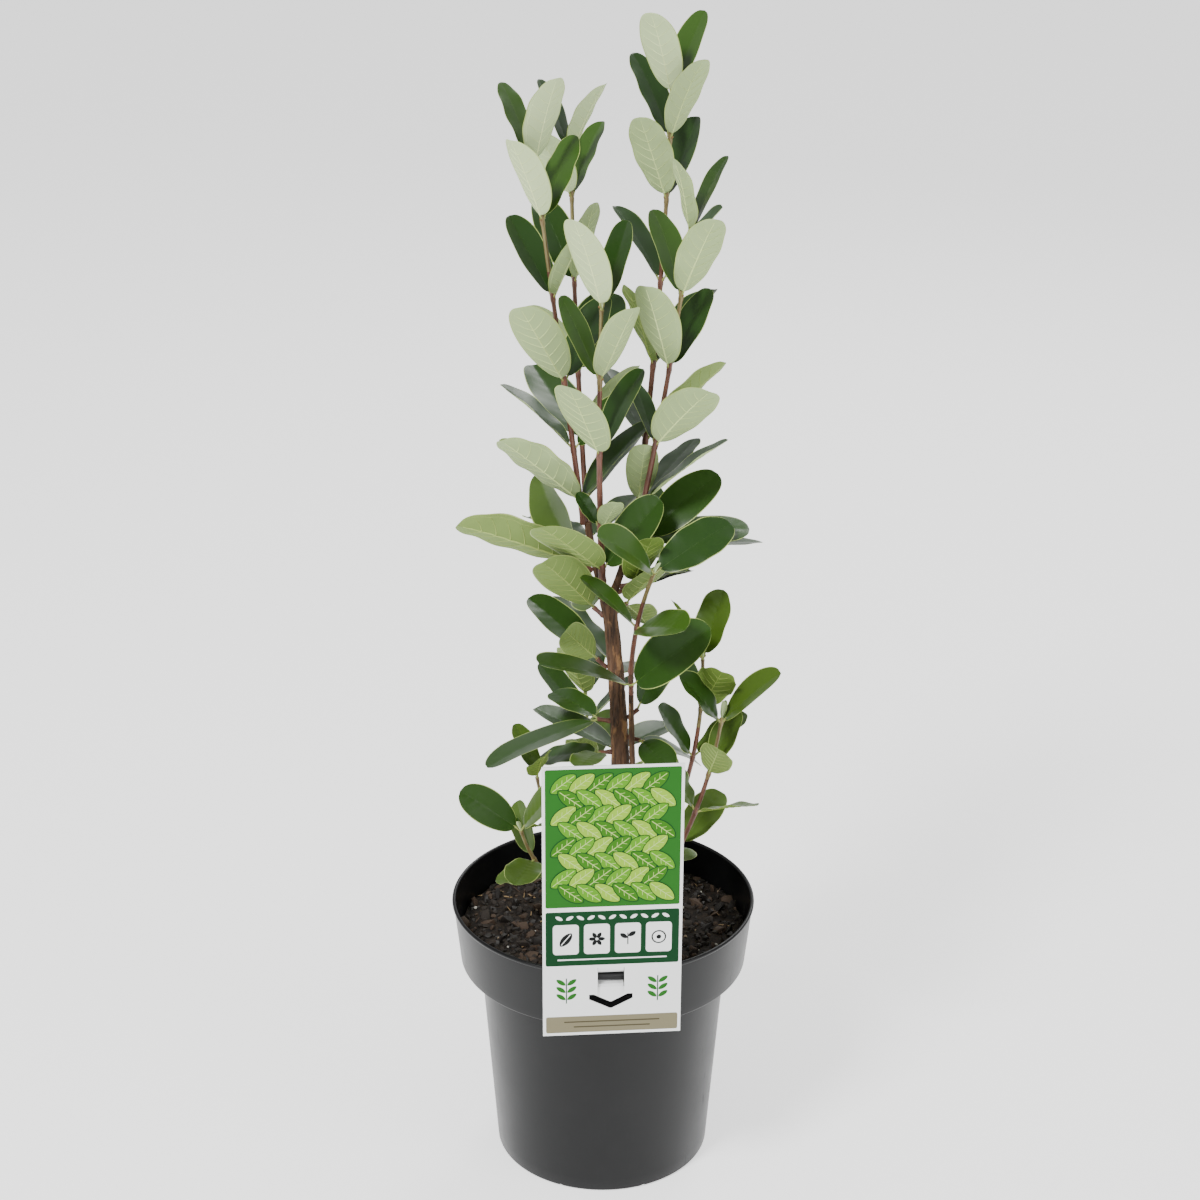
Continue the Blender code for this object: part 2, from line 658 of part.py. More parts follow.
def fitted_leaf(place, direction, turn, spread, length, rng, taken, mates):
    """The leaf that the rule gives, turned or shortened until it touches nothing, or None.

    Its blade keeps clear of the leaves on its own stem too, but their stalks meet in the stem.
    """
    state = rng.getstate()
    for shrink in TRIED_SIZES:
        for shift in TRIED_TURNS:
            rng.setstate(state)
            leaf = grow_leaf(place, direction, turn + shift, spread, length * shrink, rng)
            blade = tree_of(*leaf_mesh(leaf, CLEARANCE, False))
            if any(blade.overlap(other) for other in mates):
                continue
            grown = tree_of(*leaf_mesh(leaf, CLEARANCE))
            if not any(grown.overlap(other) for other in taken):
                return leaf
    return None


def pair_plan(shoot, stem, order):
    """Where a pair of leaves sits on its stem, and the turn, spread and sizes of its two leaves."""
    share = min(shoot.nodes[order] / stem_length(*stem), 1.0)
    height = order / max(len(shoot.nodes) - 1, 1)
    spread = shoot.spread[0] + (shoot.spread[1] - shoot.spread[0]) * height
    size = shoot.leaf[0] + (shoot.leaf[1] - shoot.leaf[0]) * height
    sizes = (size, size) if len(shoot.nodes) > 1 else shoot.leaf
    if order in shoot.young:
        sizes = tuple(share * size for share in YOUNG_SIZES)
    place, direction = bowed(*stem, share), bowed_direction(*stem, share)
    return place, direction, shoot.turn + 90 * order, spread, sizes


def grow_leaves(shoot, stem, taken):
    """A pair of leaves at each node, turned a right angle from the pair below it."""
    leaves, mates = [], []
    for order, seed in enumerate(shoot.seeds):
        rng = random.Random(seed)
        place, direction, turn, spread, sizes = pair_plan(shoot, stem, order)
        for half, size in zip((0, 180), sizes):
            leaf = fitted_leaf(place, direction, turn + half, spread, size, rng, taken, mates)
            if leaf:
                leaves.append(leaf)
                mates.append(tree_of(*leaf_mesh(leaf, 0.0, False)))
    return leaves


def make_shoots(foliage, taken):
    """Every stem first, so that no leaf is put in the way of one, then their leaves."""
    plans = [(name, shoot, shoot_stem(shoot)) for name, shoot in SHOOTS.items()]
    plans += [(name, *spur_as_shoot(spur)) for name, spur in SPURS.items()]
    stems = []
    for name, shoot, ends in plans:
        rings = SPUR_RINGS if name in SPURS else SHOOT_RINGS
        stations = stem_stations(*ends, shoot.girth, rings, TWIG_SIDES)
        level = shoot.height is None
        stems.append(tube(stations, TWIG_SIDES, name, foliage, level))
    trees = [tree_of_object(stem) for stem in stems]
    for number, (name, shoot, ends) in enumerate(plans):
        leaves = grow_leaves(shoot, ends, taken + trees[:number] + trees[number + 1:])
        blades = [new_object(f"{name} leaf", *leaf_mesh(leaf), foliage) for leaf in leaves]
        join(stems[number], blades)
        trees[number] = tree_of_object(stems[number])


def main():
    clear_scene()
    plastic = finish("black pot plastic", (0.02, 0.021, 0.023), 0.42)
    mix = finish("potting mix", (0.018, 0.014, 0.011), 0.95)
    card = finish("label card", (0.85, 0.86, 0.84), 0.4)
    bark = finish("bark", (0.16, 0.085, 0.045), 0.8)
    foliage = finish("leaves", (0.16, 0.26, 0.07), 0.45)
    solids = [make_pot(plastic), make_soil(mix), make_label(card), make_trunk(bark)]
    solids += [make_limb(name, bark) for name in LIMBS]
    make_shoots(foliage, [tree_of_object(solid) for solid in solids])


main()
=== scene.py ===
"""The looks of a young potted pineapple guava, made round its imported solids.

Lengths are in millimetres, as in the part's source, and mesh_from turns them into metres.
The plant grows here by the source's own rule and seeds, and each leaf is then drawn finely.
"""

import math
import random
from collections import namedtuple
from itertools import combinations

import bmesh
import bpy
import numpy as np
from mathutils import Matrix, Vector, noise
from mathutils.bvhtree import BVHTree


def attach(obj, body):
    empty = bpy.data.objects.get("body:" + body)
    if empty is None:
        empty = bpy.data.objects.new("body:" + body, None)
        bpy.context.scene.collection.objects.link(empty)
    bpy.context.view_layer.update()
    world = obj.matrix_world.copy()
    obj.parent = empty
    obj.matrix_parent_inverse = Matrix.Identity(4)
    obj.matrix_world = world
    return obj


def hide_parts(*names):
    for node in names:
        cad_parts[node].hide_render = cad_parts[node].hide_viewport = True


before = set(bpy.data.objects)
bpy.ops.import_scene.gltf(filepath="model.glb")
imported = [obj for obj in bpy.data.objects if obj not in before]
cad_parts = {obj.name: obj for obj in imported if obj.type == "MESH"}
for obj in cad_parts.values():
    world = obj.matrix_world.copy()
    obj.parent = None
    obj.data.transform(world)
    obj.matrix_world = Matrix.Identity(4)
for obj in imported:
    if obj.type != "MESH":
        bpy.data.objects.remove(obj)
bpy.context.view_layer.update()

# Driving sizes, as in the part's source

MM = 0.001
GAP = 0.3  # left between solids that touch
UP = Vector((0, 0, 1))
ACROSS = (Vector((1, 0, 0)), Vector((0, 1, 0)))

# The pot, a thin moulded shell with a deep rim band
POT_HEIGHT = 184.0
RIM_RADIUS = 100.0
LIP_HEIGHT = 2.8
BAND_DEPTH = 43.4
BAND_FOOT_RADIUS = 94.8
SHOULDER_RADIUS = 81.8
FOOT_RADIUS = 71.5
WALL = 1.7
FLOOR = 4.0
SLOT_X = 4.9
SLOT_WIDTH = 22.0
SLOT_HEIGHT = 3.2
SLOT_TOP = 178.4
DRAIN_HOLES = 8
DRAIN_RADIUS = 4.5
DRAIN_CIRCLE = 67.0
RECESS_DEPTH = 2.0
RECESS_RADII = (20.0, 58.0)

SOIL_TOP = 162.0
SOIL_LEVEL_RADIUS = 30.0  # flat round the stems

# The label, hung on the lip by its tongue
LABEL_WIDTH = 86.4
LABEL_HEIGHT = 187.0
LABEL_THICKNESS = 0.6
LABEL_CENTRE = Vector((5.6, -103.05, 235.8))
LABEL_YAW = math.radians(4.7)

# The trunk and the limbs
TRUNK_FOOT = Vector((12.0, 0.0, SOIL_TOP + GAP))
FORK = Vector((2.0, -2.0, 398.0))
TRUNK_GIRTH = (7.6, 4.4)
FLARE = 4.6
FLARE_HEIGHT = 9.0
FORK_SWELL = 1.4
TWIG_SIDES = 6

SPUR_REACH = 8.0
SPUR_NODE = 7.0
SPUR_GIRTH = (1.3, 1.1)
SHOOT_RINGS = 12
SPUR_RINGS = 3

# Leaves
PETIOLE = 5.0
PETIOLE_HALF = 0.85
PETIOLE_DEPTH = (0.7, 0.62)  # half thickness at its foot and at the blade
LEAF_STATIONS = (0.1, 0.27, 0.48, 0.7, 0.87, 0.965)
LEAST_DEPTH, DEPTH_SHARE = 0.42, 0.0072  # half thickness of a blade, and its share of the length
YOUNG_SIZES = (0.42, 0.36)  # the two leaves of a young pair, against a grown one
TRIED_SIZES = (1.0, 0.86, 0.72)
TRIED_TURNS = (0, 14, -14, 28, -28, 42, -42)
CLEARANCE = 0.5  # how much a leaf is grown when it is tested against what is there
TURN_PLAY, SPREAD_PLAY, ROLL_PLAY = 14, 7, 32  # degrees either way of what the rule gives
SIZE_RANGE = (0.9, 1.08)
WIDTH_RANGE = (0.47, 0.57)  # against the length
SAG_RANGE = (0.0, 0.14)
FOLD_RANGE = (0.04, 0.3)

Limb = namedtuple("Limb", "root bow tip girth")

# A shoot grows from its limb's tip, or from its side at a height. Its nodes are
# distances along the stem. Pairs of leaves turn by a right angle from node to node.
Shoot = namedtuple("Shoot", "limb height tip bow girth nodes turn spread leaf young seeds")

# A spur is a short side twig with one pair of leaves.
Spur = namedtuple("Spur", "limb height azimuth rise turn spread leaf second seed")

Leaf = namedtuple("Leaf", "foot along face petiole length width sag fold")

LIMBS = {
    "leader_bough": Limb(FORK + Vector((-1.6, -2.2, GAP)), (0, 0, 0), (-1.4, -5.6, 409), (2.7, 2.2)),
    "left_bough": Limb(FORK + Vector((-3.2, 2.4, GAP)), (-1.0, 0, 0), (-10.6, 0.6, 446), (2.0, 2.4)),
    "right_bough": Limb(FORK + Vector((3.1, 1.6, GAP)), (0.8, 0, 0), (17.5, 4.0, 440), (2.4, 2.4)),
    "second_stem": Limb((26.6, -7.2, SOIL_TOP + GAP), (-2.0, 2.0, 0), (16.8, -14.0, 351), (2.3, 1.7)),
}

SHOOTS = {
    "leader_shoot": Shoot(
        "leader_bough", None, (-2.7, -32, 590), (-1.6, -2, 0), (2.1, 1.1),
        (8, 37, 88, 137, 183), 225, (46, 18), (64, 54), (1,),
        (393, 2355, 1112, 799, 765)),
    "left_outer_shoot": Shoot(
        "left_bough", None, (-42, -6, 670), (0, 0, 0), (1.8, 1.0),
        (14, 48, 91, 144, 191, 225), 225, (46, 17), (64, 50), (),
        (1162, 607, 2471, 591, 52, 1013)),
    "left_inner_shoot": Shoot(
        "left_bough", None, (-21.6, 52, 664), (-1.8, 14, 0), (1.8, 1.0),
        (12, 47, 88, 144, 198, 230), 225, (46, 17), (64, 48), (),
        (0, 0, 1501, 620, 2169, 1830)),
    "right_back_shoot": Shoot(
        "right_bough", None, (39, 48, 700), (3.5, 18, 0), (1.9, 1.0),
        (14, 52, 98, 150, 202, 240, 272), 45, (44, 17), (64, 52), (),
        (7, 0, 996, 2425, 2490, 363, 1447)),
    "right_front_shoot": Shoot(
        "right_bough", None, (49, -10, 630), (2, -1, 0), (1.8, 1.0),
        (20, 57, 107, 153, 197), 225, (40, 19), (60, 48), (),
        (289, 1843, 1551, 851, 2464)),
    "second_shoot": Shoot(
        "second_stem", None, (30.1, -32, 425), (-2.6, 2, 0), (1.6, 1.2),
        (34, 79), 300, (58, 52), (52, 60), (),
        (641, 647)),
    "base_right_shoot": Shoot(
        "second_stem", 206, (62, -12, 359), (10, -2, -4), (1.9, 1.0),
        (92, 126, 160), 200, (48, 22), (40, 46), (),
        (2355, 1190, 437)),
    "base_front_right_shoot": Shoot(
        "second_stem", 186, (74, -32, 328), (6, -3, -5), (2.0, 1.0),
        (52, 82, 112, 148), 250, (58, 34), (42, 46), (),
        (0, 675, 333, 543)),
    "base_left_shoot": Shoot(
        "trunk", 180, (-53, -30, 247), (-8, 0, -10), (1.9, 1.0),
        (52, 72, 96), 0, (66, 46), (34, 46), (),
        (1516, 1740, 474)),
    "base_left_sprig": Shoot(
        "trunk", 200, (-43, -8, 274), (-8, 0, -12), (1.6, 0.9),
        (62, 93), 190, (50, 30), (26, 36), (),
        (0, 607)),
    "base_back_shoot": Shoot(
        "trunk", 188, (-12, 62, 300), (-4, 14, -12), (1.9, 1.0),
        (58, 88, 116, 138), 160, (58, 30), (40, 46), (),
        (0, 0, 0, 0)),
}

SPURS = {
    "trunk_spur_low_left": Spur("trunk", 290, 195, 2, 299, 56, 46, 1.1, 363),
    "trunk_spur_low_right": Spur("trunk", 300, -17, -8, 234, 50, 44, 1.2, 1306),
    "trunk_spur_low_back": Spur("trunk", 282, 100, 14, 10, 48, 56, 1.0, 0),
    "trunk_spur_left": Spur("trunk", 311, 173, 6, 248, 38, 78, 0.6, 872),
    "trunk_spur_right": Spur("trunk", 313, 9, 40, 306, 32, 74, 0.8, 1786),
    "trunk_spur_back": Spur("trunk", 336, 82, 30, 20, 46, 60, 1.0, 0),
    "trunk_spur_mid_left": Spur("trunk", 350, 186, 47, 286, 22, 46, 1.3, 784),
    "trunk_spur_high_left": Spur("trunk", 384, 150, 31, 281, 60, 66, 0.72, 2409),
    "trunk_spur_high_right": Spur("trunk", 386, 32, 29, 254, 66, 62, 0.66, 1270),
    "second_spur_front": Spur("second_stem", 338, -90, 62, 192, 45, 76, 0.8, 1294),
    "left_spur_low": Spur("left_bough", 415, 176, 36, 233, 25, 76, 0.85, 325),
    "left_spur_back": Spur("left_bough", 428, 105, 34, 20, 42, 60, 0.95, 0),
    "right_spur_low": Spur("right_bough", 405, -12, 19, 211, 52, 54, 1.0, 279),
    "right_spur_back": Spur("right_bough", 416, 40, 24, 352, 30, 74, 0.8, 281),
    "right_spur_low_back": Spur("right_bough", 401, 14, 4, 300, 24, 66, 0.8, 437),
    "right_spur_high": Spur("right_bough", 431, 3, 34, 296, 20, 66, 0.86, 1825),
}


# The rule that the plant grows by, as in the source

def inner_radius(z):
    """The inside of the pot's wall, in the rim band or below it."""
    band_foot = POT_HEIGHT - BAND_DEPTH
    if z > band_foot + WALL:
        share = (z - band_foot) / BAND_DEPTH
        return BAND_FOOT_RADIUS + share * (RIM_RADIUS - 0.8 - BAND_FOOT_RADIUS) - WALL
    return FOOT_RADIUS + (z / band_foot) * (SHOULDER_RADIUS - FOOT_RADIUS) - WALL


def ring_faces(count, sides):
    """Quads between rings of points, with a cap on the first ring and on the last."""
    faces = [tuple(range(sides))]
    for ring in range(count - 1):
        a, b = ring * sides, (ring + 1) * sides
        faces += [(a + k, a + (k + 1) % sides, b + (k + 1) % sides, b + k) for k in range(sides)]
    faces.append(tuple(range((count - 1) * sides, count * sides)))
    return faces


def frame_along(direction):
    """Two sideways directions that turn with a stem without twisting."""
    turn = UP.rotation_difference(direction)
    return [turn @ axis for axis in ACROSS]


def outward_at(sideways, angle):
    """The direction at an angle round a stem, from its two sideways directions."""
    x, y = sideways
    return x * math.cos(angle) + y * math.sin(angle)


def tapered(girth, share):
    return girth[0] + (girth[1] - girth[0]) * share


def bowed(root, bow, tip, share):
    return root + (tip - root) * share + Vector(bow) * 4 * share * (1 - share)


def bowed_direction(root, bow, tip, share):
    return (tip - root + Vector(bow) * 4 * (1 - 2 * share)).normalized()


def trunk_share(z):
    return (z - TRUNK_FOOT.z) / (FORK.z - TRUNK_FOOT.z)


def trunk_middle(z):
    """The trunk leans more and more to the left as it rises."""
    share = trunk_share(z)
    return Vector((
        TRUNK_FOOT.x + (FORK.x - TRUNK_FOOT.x) * share ** 3,
        TRUNK_FOOT.y + (FORK.y - TRUNK_FOOT.y) * share ** 2, z))


def trunk_radius(z, angle=0.0):
    share = trunk_share(z)
    low, high = TRUNK_GIRTH
    flare = FLARE * math.exp(-(z - TRUNK_FOOT.z) / FLARE_HEIGHT) * (1 + 0.3 * math.cos(4 * angle + 1))
    swell = FORK_SWELL * max(0.0, (share - 0.93) / 0.07)
    return low + (high - low) * share + flare + swell


def along_stem(ends, rings):
    """The share, the middle and the direction at each ring of a stem."""
    for ring in range(rings):
        share = ring / (rings - 1)
        yield share, bowed(*ends, share), bowed_direction(*ends, share)


def stem_stations(ends, girth, rings, sides):
    return [(middle, direction, [tapered(girth, share)] * sides)
            for share, middle, direction in along_stem(ends, rings)]


def limb_ends(limb):
    return Vector(limb.root), limb.bow, Vector(limb.tip)


def limb_at(name, z):
    """The middle, direction and radius of a limb at a height."""
    if name == "trunk":
        return trunk_middle(z), (trunk_middle(z + 1) - trunk_middle(z)).normalized(), trunk_radius(z)
    ends = limb_ends(LIMBS[name])
    share = (z - ends[0].z) / (ends[2].z - ends[0].z)
    return bowed(*ends, share), bowed_direction(*ends, share), tapered(LIMBS[name].girth, share)


def side_root(limb, height, direction, girth):
    """Where a twig starts that leaves a limb's side in a direction, clear of its bark."""
    middle, limb_direction, radius = limb_at(limb, height)
    outward = direction - limb_direction * direction.dot(limb_direction)
    clear = radius + GAP + girth * abs(direction.dot(limb_direction))
    return middle + outward.normalized() * clear


def shoot_stem(shoot):
    """The foot, the bow and the tip of a shoot's stem."""
    tip = Vector(shoot.tip)
    if shoot.height is None:
        seat = Vector(LIMBS[shoot.limb].tip)
        outward = Vector((tip.x - seat.x, tip.y - seat.y, 0)).normalized()
        sharing = sum(other.limb == shoot.limb and other.height is None for other in SHOOTS.values())
        aside = 1.6 * shoot.girth[0] * (sharing > 1)
        return seat + outward * aside + UP * GAP, shoot.bow, tip
    middle, _, _ = limb_at(shoot.limb, shoot.height)
    direction = bowed_direction(middle, shoot.bow, tip, 0)
    return side_root(shoot.limb, shoot.height, direction, shoot.girth[0]), shoot.bow, tip


def spur_as_shoot(spur):
    azimuth, rise = math.radians(spur.azimuth), math.radians(spur.rise)
    direction = outward_at((outward_at(ACROSS, azimuth), UP), rise)
    root = side_root(spur.limb, spur.height, direction, SPUR_GIRTH[0])
    shoot = Shoot(
        spur.limb, spur.height, root + direction * SPUR_REACH, (0, 0, 0), SPUR_GIRTH, (SPUR_NODE,),
        spur.turn, (spur.spread, spur.spread), (spur.leaf, spur.leaf * spur.second), (), (spur.seed,))
    return shoot, (root, (0, 0, 0), shoot.tip)


def stem_length(root, bow, tip, parts=24):
    places = [bowed(root, bow, tip, part / parts) for part in range(parts + 1)]
    return sum((b - a).length for a, b in zip(places, places[1:]))


def grow_leaf(place, direction, turn, spread, length, rng):
    """One leaf at a node. Its upper face looks at an upright stem, and at the sky from a level one."""
    angle = math.radians(turn + rng.uniform(-TURN_PLAY, TURN_PLAY))
    open_angle = math.radians(spread + rng.uniform(-SPREAD_PLAY, SPREAD_PLAY))
    outward = outward_at(frame_along(direction), angle)
    along = direction * math.cos(open_angle) + outward * math.sin(open_angle)
    face = direction * math.sin(open_angle) - outward * math.cos(open_angle)
    level = max(0.0, 1 - direction.z) ** 0.7
    face = face * (1 - level) + UP * level
    face = (face - along * face.dot(along)).normalized()
    roll = math.radians(rng.uniform(-ROLL_PLAY, ROLL_PLAY))
    face = face * math.cos(roll) + face.cross(along) * math.sin(roll)
    size = length * rng.uniform(*SIZE_RANGE)
    width = min(size, 46 + 0.3 * size) * rng.uniform(*WIDTH_RANGE)
    return Leaf(place, along, face, PETIOLE, size, width, rng.uniform(*SAG_RANGE), rng.uniform(*FOLD_RANGE))


def leaf_half_width(leaf, share):
    """An oval, fullest a little past the middle, with a round end."""
    return leaf.width / 2 * (2 * (share * (1 - share)) ** 0.5) ** 0.9 * (0.88 + 0.22 * share)


def leaf_rings(leaf, grow, whole):
    """Four-sided rings from the petiole's foot, or its end, to near the leaf's end, and the end itself."""
    side = leaf.face.cross(leaf.along)

    def ring(distance, half, thick):
        share = max(0.0, distance - leaf.petiole) / leaf.length
        middle = leaf.foot + leaf.along * distance - leaf.face * leaf.sag * leaf.length * share ** 2
        edge = leaf.face * leaf.fold * half
        half += grow
        thick += grow
        return [middle - side * half + edge, middle + leaf.face * thick,
                middle + side * half + edge, middle - leaf.face * thick]

    thick = max(LEAST_DEPTH, DEPTH_SHARE * leaf.length)
    rings = [ring(0, PETIOLE_HALF, PETIOLE_DEPTH[0])] if whole else []
    rings.append(ring(leaf.petiole, PETIOLE_HALF, PETIOLE_DEPTH[1]))
    for share in LEAF_STATIONS:
        distance = leaf.petiole + leaf.length * share
        rings.append(ring(distance, leaf_half_width(leaf, share), thick * (1 - 0.5 * share)))
    end = ring(leaf.petiole + leaf.length + grow, 0, 0)
    return rings, (end[1] + end[3]) / 2


def leaf_mesh(leaf, grow=0.0, whole=True):
    rings, end = leaf_rings(leaf, grow, whole)
    points = [corner for ring in rings for corner in ring] + [end]
    faces = ring_faces(len(rings), 4)[:-1]
    last = (len(rings) - 1) * 4
    faces += [(last + k, last + (k + 1) % 4, len(points) - 1) for k in range(4)]
    return points, faces


def tree_of(points, faces):
    return BVHTree.FromPolygons([Vector(p) for p in points], faces)


def fitted_leaf(place, direction, turn, spread, length, rng, taken, mates):
    """The leaf that the rule gives, turned or shortened until it touches nothing, or None.

    Its blade keeps clear of the leaves on its own stem too, but their stalks meet in the stem.
    """
    state = rng.getstate()
    for shrink in TRIED_SIZES:
        for shift in TRIED_TURNS:
            rng.setstate(state)
            leaf = grow_leaf(place, direction, turn + shift, spread, length * shrink, rng)
            blade = tree_of(*leaf_mesh(leaf, CLEARANCE, False))
            if any(blade.overlap(other) for other in mates):
                continue
            grown = tree_of(*leaf_mesh(leaf, CLEARANCE))
            if not any(grown.overlap(other) for other in taken):
                return leaf
    return None


def node_share(shoot, stem, order):
    """How far up its stem a node is, from 0 to 1."""
    return min(shoot.nodes[order] / stem_length(*stem), 1.0)


def pair_plan(shoot, stem, order):
    """Where a pair of leaves sits on its stem, and the turn, spread and sizes of its two leaves."""
    share = node_share(shoot, stem, order)
    height = order / max(len(shoot.nodes) - 1, 1)
    spread, size = tapered(shoot.spread, height), tapered(shoot.leaf, height)
    sizes = (size, size) if len(shoot.nodes) > 1 else shoot.leaf
    if order in shoot.young:
        sizes = tuple(share * size for share in YOUNG_SIZES)
    place, direction = bowed(*stem, share), bowed_direction(*stem, share)
    return place, direction, shoot.turn + 90 * order, spread, sizes


# Shader maths as Python, and one method that makes any node

MIX_INPUTS = (0, 6, 7)  # the sockets of a Mix node for its share and its two colours
MIX_RESULT = 2

class Wire:
    """A socket whose sums and products add their own Math nodes."""

    def __init__(self, finish, socket):
        self.finish = finish
        self.socket = socket

    def math(self, operation, *values):
        return self.finish.node("ShaderNodeMath", {"operation": operation}, dict(enumerate(values)))

    def __add__(self, other):
        return self.math("ADD", self, other)

    def __sub__(self, other):
        return self.math("SUBTRACT", self, other)

    def __rsub__(self, other):
        return self.math("SUBTRACT", other, self)

    def __mul__(self, other):
        return self.math("MULTIPLY", self, other)

    __radd__ = __add__
    __rmul__ = __mul__


class Finish:
    """One material. Its shader's sockets take plain values or wires."""

    def __init__(self, name, **sockets):
        self.material = bpy.data.materials.new(name)
        self.material.use_nodes = True
        self.tree = self.material.node_tree
        self.shader = self.tree.nodes["Principled BSDF"]
        self.set(**sockets)

    def feed(self, socket, value):
        if isinstance(value, Wire):
            self.tree.links.new(value.socket, socket)
        elif isinstance(value, tuple) and len(value) == 3 and socket.type == "RGBA":
            socket.default_value = (*value, 1)
        else:
            socket.default_value = value

    def set(self, **sockets):
        for name, value in sockets.items():
            self.feed(self.shader.inputs[name.replace("_", " ")], value)

    def node(self, kind, settings=None, inputs=None, output=0):
        made = self.tree.nodes.new(kind)
        for name, value in (settings or {}).items():
            setattr(made, name, value)
        for name, value in (inputs or {}).items():
            self.feed(made.inputs[name], value)
        return Wire(self, made.outputs[output])

    def place(self, scale):
        """Object coordinates, in metres, stretched by a scale for each axis."""
        here = self.node("ShaderNodeTexCoord", output="Object")
        return self.node("ShaderNodeVectorMath", {"operation": "MULTIPLY"}, {0: here, 1: scale})

    def cloud(self, scale, detail=3.0, roughness=0.55):
        inputs = {"Vector": self.place(scale), "Scale": 1.0, "Detail": detail, "Roughness": roughness}
        return self.node("ShaderNodeTexNoise", {}, inputs)

    def ramp(self, value, low, high):
        """The value spread from 0 at low to 1 at high."""
        inputs = {"Value": value, "From Min": low, "From Max": high}
        return self.node("ShaderNodeMapRange", {"clamp": True}, inputs)

    def blend(self, share, first, second):
        inputs = dict(zip(MIX_INPUTS, (share, first, second)))
        return self.node("ShaderNodeMix", {"data_type": "RGBA"}, inputs, MIX_RESULT)

    def relief(self, height, strength, distance):
        inputs = {"Height": height, "Strength": strength, "Distance": distance}
        self.set(Normal=self.node("ShaderNodeBump", {}, inputs))


# Finishes

# Leaf colours, from the youngest pair to the oldest. Upper sides, undersides and what goes with each.
UPPER = ((0.038, 0.094, 0.010), (0.016, 0.050, 0.006), (0.022, 0.062, 0.007), (0.062, 0.116, 0.014))
UNDER = ((0.48, 0.59, 0.31), (0.34, 0.44, 0.20), (0.20, 0.290, 0.075), (0.135, 0.215, 0.034))
VEIN = ((0.66, 0.75, 0.38), (0.55, 0.66, 0.27), (0.36, 0.46, 0.12), (0.26, 0.36, 0.06))
CREASE = ((0.085, 0.165, 0.028), (0.040, 0.092, 0.016), (0.052, 0.108, 0.017), (0.115, 0.185, 0.030))
MARGIN = (0.36, 0.45, 0.13)
AGES = len(UPPER)
UPPER_SIDE, UNDERSIDE, RAISED_VEIN, VEIN_CREASE, LEAF_MARGIN = (kind * AGES for kind in range(5))
LEAF_STALK = LEAF_MARGIN + 1


def leaf_finishes():
    """Upper side, underside, raised vein and crease for each age, then the margin and the stalk."""
    kinds = (("upper side", UPPER, (0.30, 0.33, 0.36, 0.39), 0.32),
             ("underside", UNDER, (0.68,) * AGES, 0.25),
             ("raised vein", VEIN, (0.5,) * AGES, 0.5),
             ("crease", CREASE, (0.4,) * AGES, 0.3))
    finishes = []
    for name, colours, roughness, shine in kinds:
        for age in range(AGES):
            finishes.append(Finish(f"{name} {age}", Base_Color=colours[age], Roughness=roughness[age],
                                   Specular_IOR_Level=shine).material)
    return finishes + [plain("leaf margin", MARGIN, 0.45), plain("leaf stalk", (0.30, 0.34, 0.09))]


def pot_plastic():
    finish = Finish("black pot plastic", Specular_IOR_Level=0.26)
    mottle = finish.cloud((45, 45, 45), 4)
    scuffs = finish.ramp(finish.cloud((260, 260, 36), 5, 0.7), 0.60, 0.78)
    dust = finish.ramp(mottle, 0.45, 0.8) * 0.35 + scuffs * 0.4
    finish.set(Base_Color=finish.blend(dust, (0.0035, 0.0038, 0.0042), (0.009, 0.009, 0.0095)))
    finish.set(Roughness=0.26 + mottle * 0.14 + scuffs * 0.15)
    finish.relief(finish.cloud((900, 900, 900), 2) + scuffs * 0.4, 0.10, 0.0002)
    return finish.material


def trunk_bark():
    finish = Finish("trunk bark", Specular_IOR_Level=0.3)
    plates = finish.cloud((300, 300, 34), 5, 0.62)
    flakes = finish.cloud((170, 170, 60), 4, 0.6)
    grain = finish.cloud((1400, 1400, 160), 3, 0.6)
    base = finish.blend(finish.ramp(plates, 0.38, 0.62), (0.030, 0.017, 0.011), (0.135, 0.070, 0.038))
    tan = finish.blend(finish.ramp(flakes, 0.56, 0.66) * 0.85, base, (0.36, 0.19, 0.085))
    finish.set(Base_Color=finish.blend(finish.ramp(grain, 0.55, 0.8) * 0.4, tan, (0.20, 0.14, 0.10)))
    finish.set(Roughness=0.62 + grain * 0.3)
    finish.relief(plates * 0.7 + grain * 0.4, 0.55, 0.0006)
    return finish.material


def young_bark(name, dark, light):
    finish = Finish(name, Coat_Weight=0.08)
    streaks = finish.cloud((420, 420, 60), 4, 0.6)
    finish.set(Base_Color=finish.blend(finish.ramp(streaks, 0.36, 0.68), dark, light))
    finish.set(Roughness=0.42 + streaks * 0.2)
    finish.relief(streaks, 0.3, 0.0003)
    return finish.material


def potting_mix():
    finish = Finish("potting mix", Specular_IOR_Level=0.25)
    clumps = finish.cloud((260, 260, 260), 5, 0.65)
    finish.set(Base_Color=finish.blend(finish.ramp(clumps, 0.4, 0.7), (0.006, 0.0045, 0.0035),
                                       (0.035, 0.024, 0.016)))
    finish.set(Roughness=0.75 + clumps * 0.2)
    finish.relief(clumps, 0.8, 0.0012)
    return finish.material


def label_card():
    finish = Finish("label card", Coat_Weight=0.2, Coat_Roughness=0.2)
    haze = finish.cloud((60, 60, 60), 3)
    finish.set(Base_Color=finish.blend(haze * 0.3, (0.86, 0.87, 0.86), (0.80, 0.81, 0.80)))
    finish.set(Roughness=0.30 + haze * 0.12)
    return finish.material


def plain(name, colour, roughness=0.5):
    return Finish(name, Base_Color=colour, Roughness=roughness).material


# Building meshes

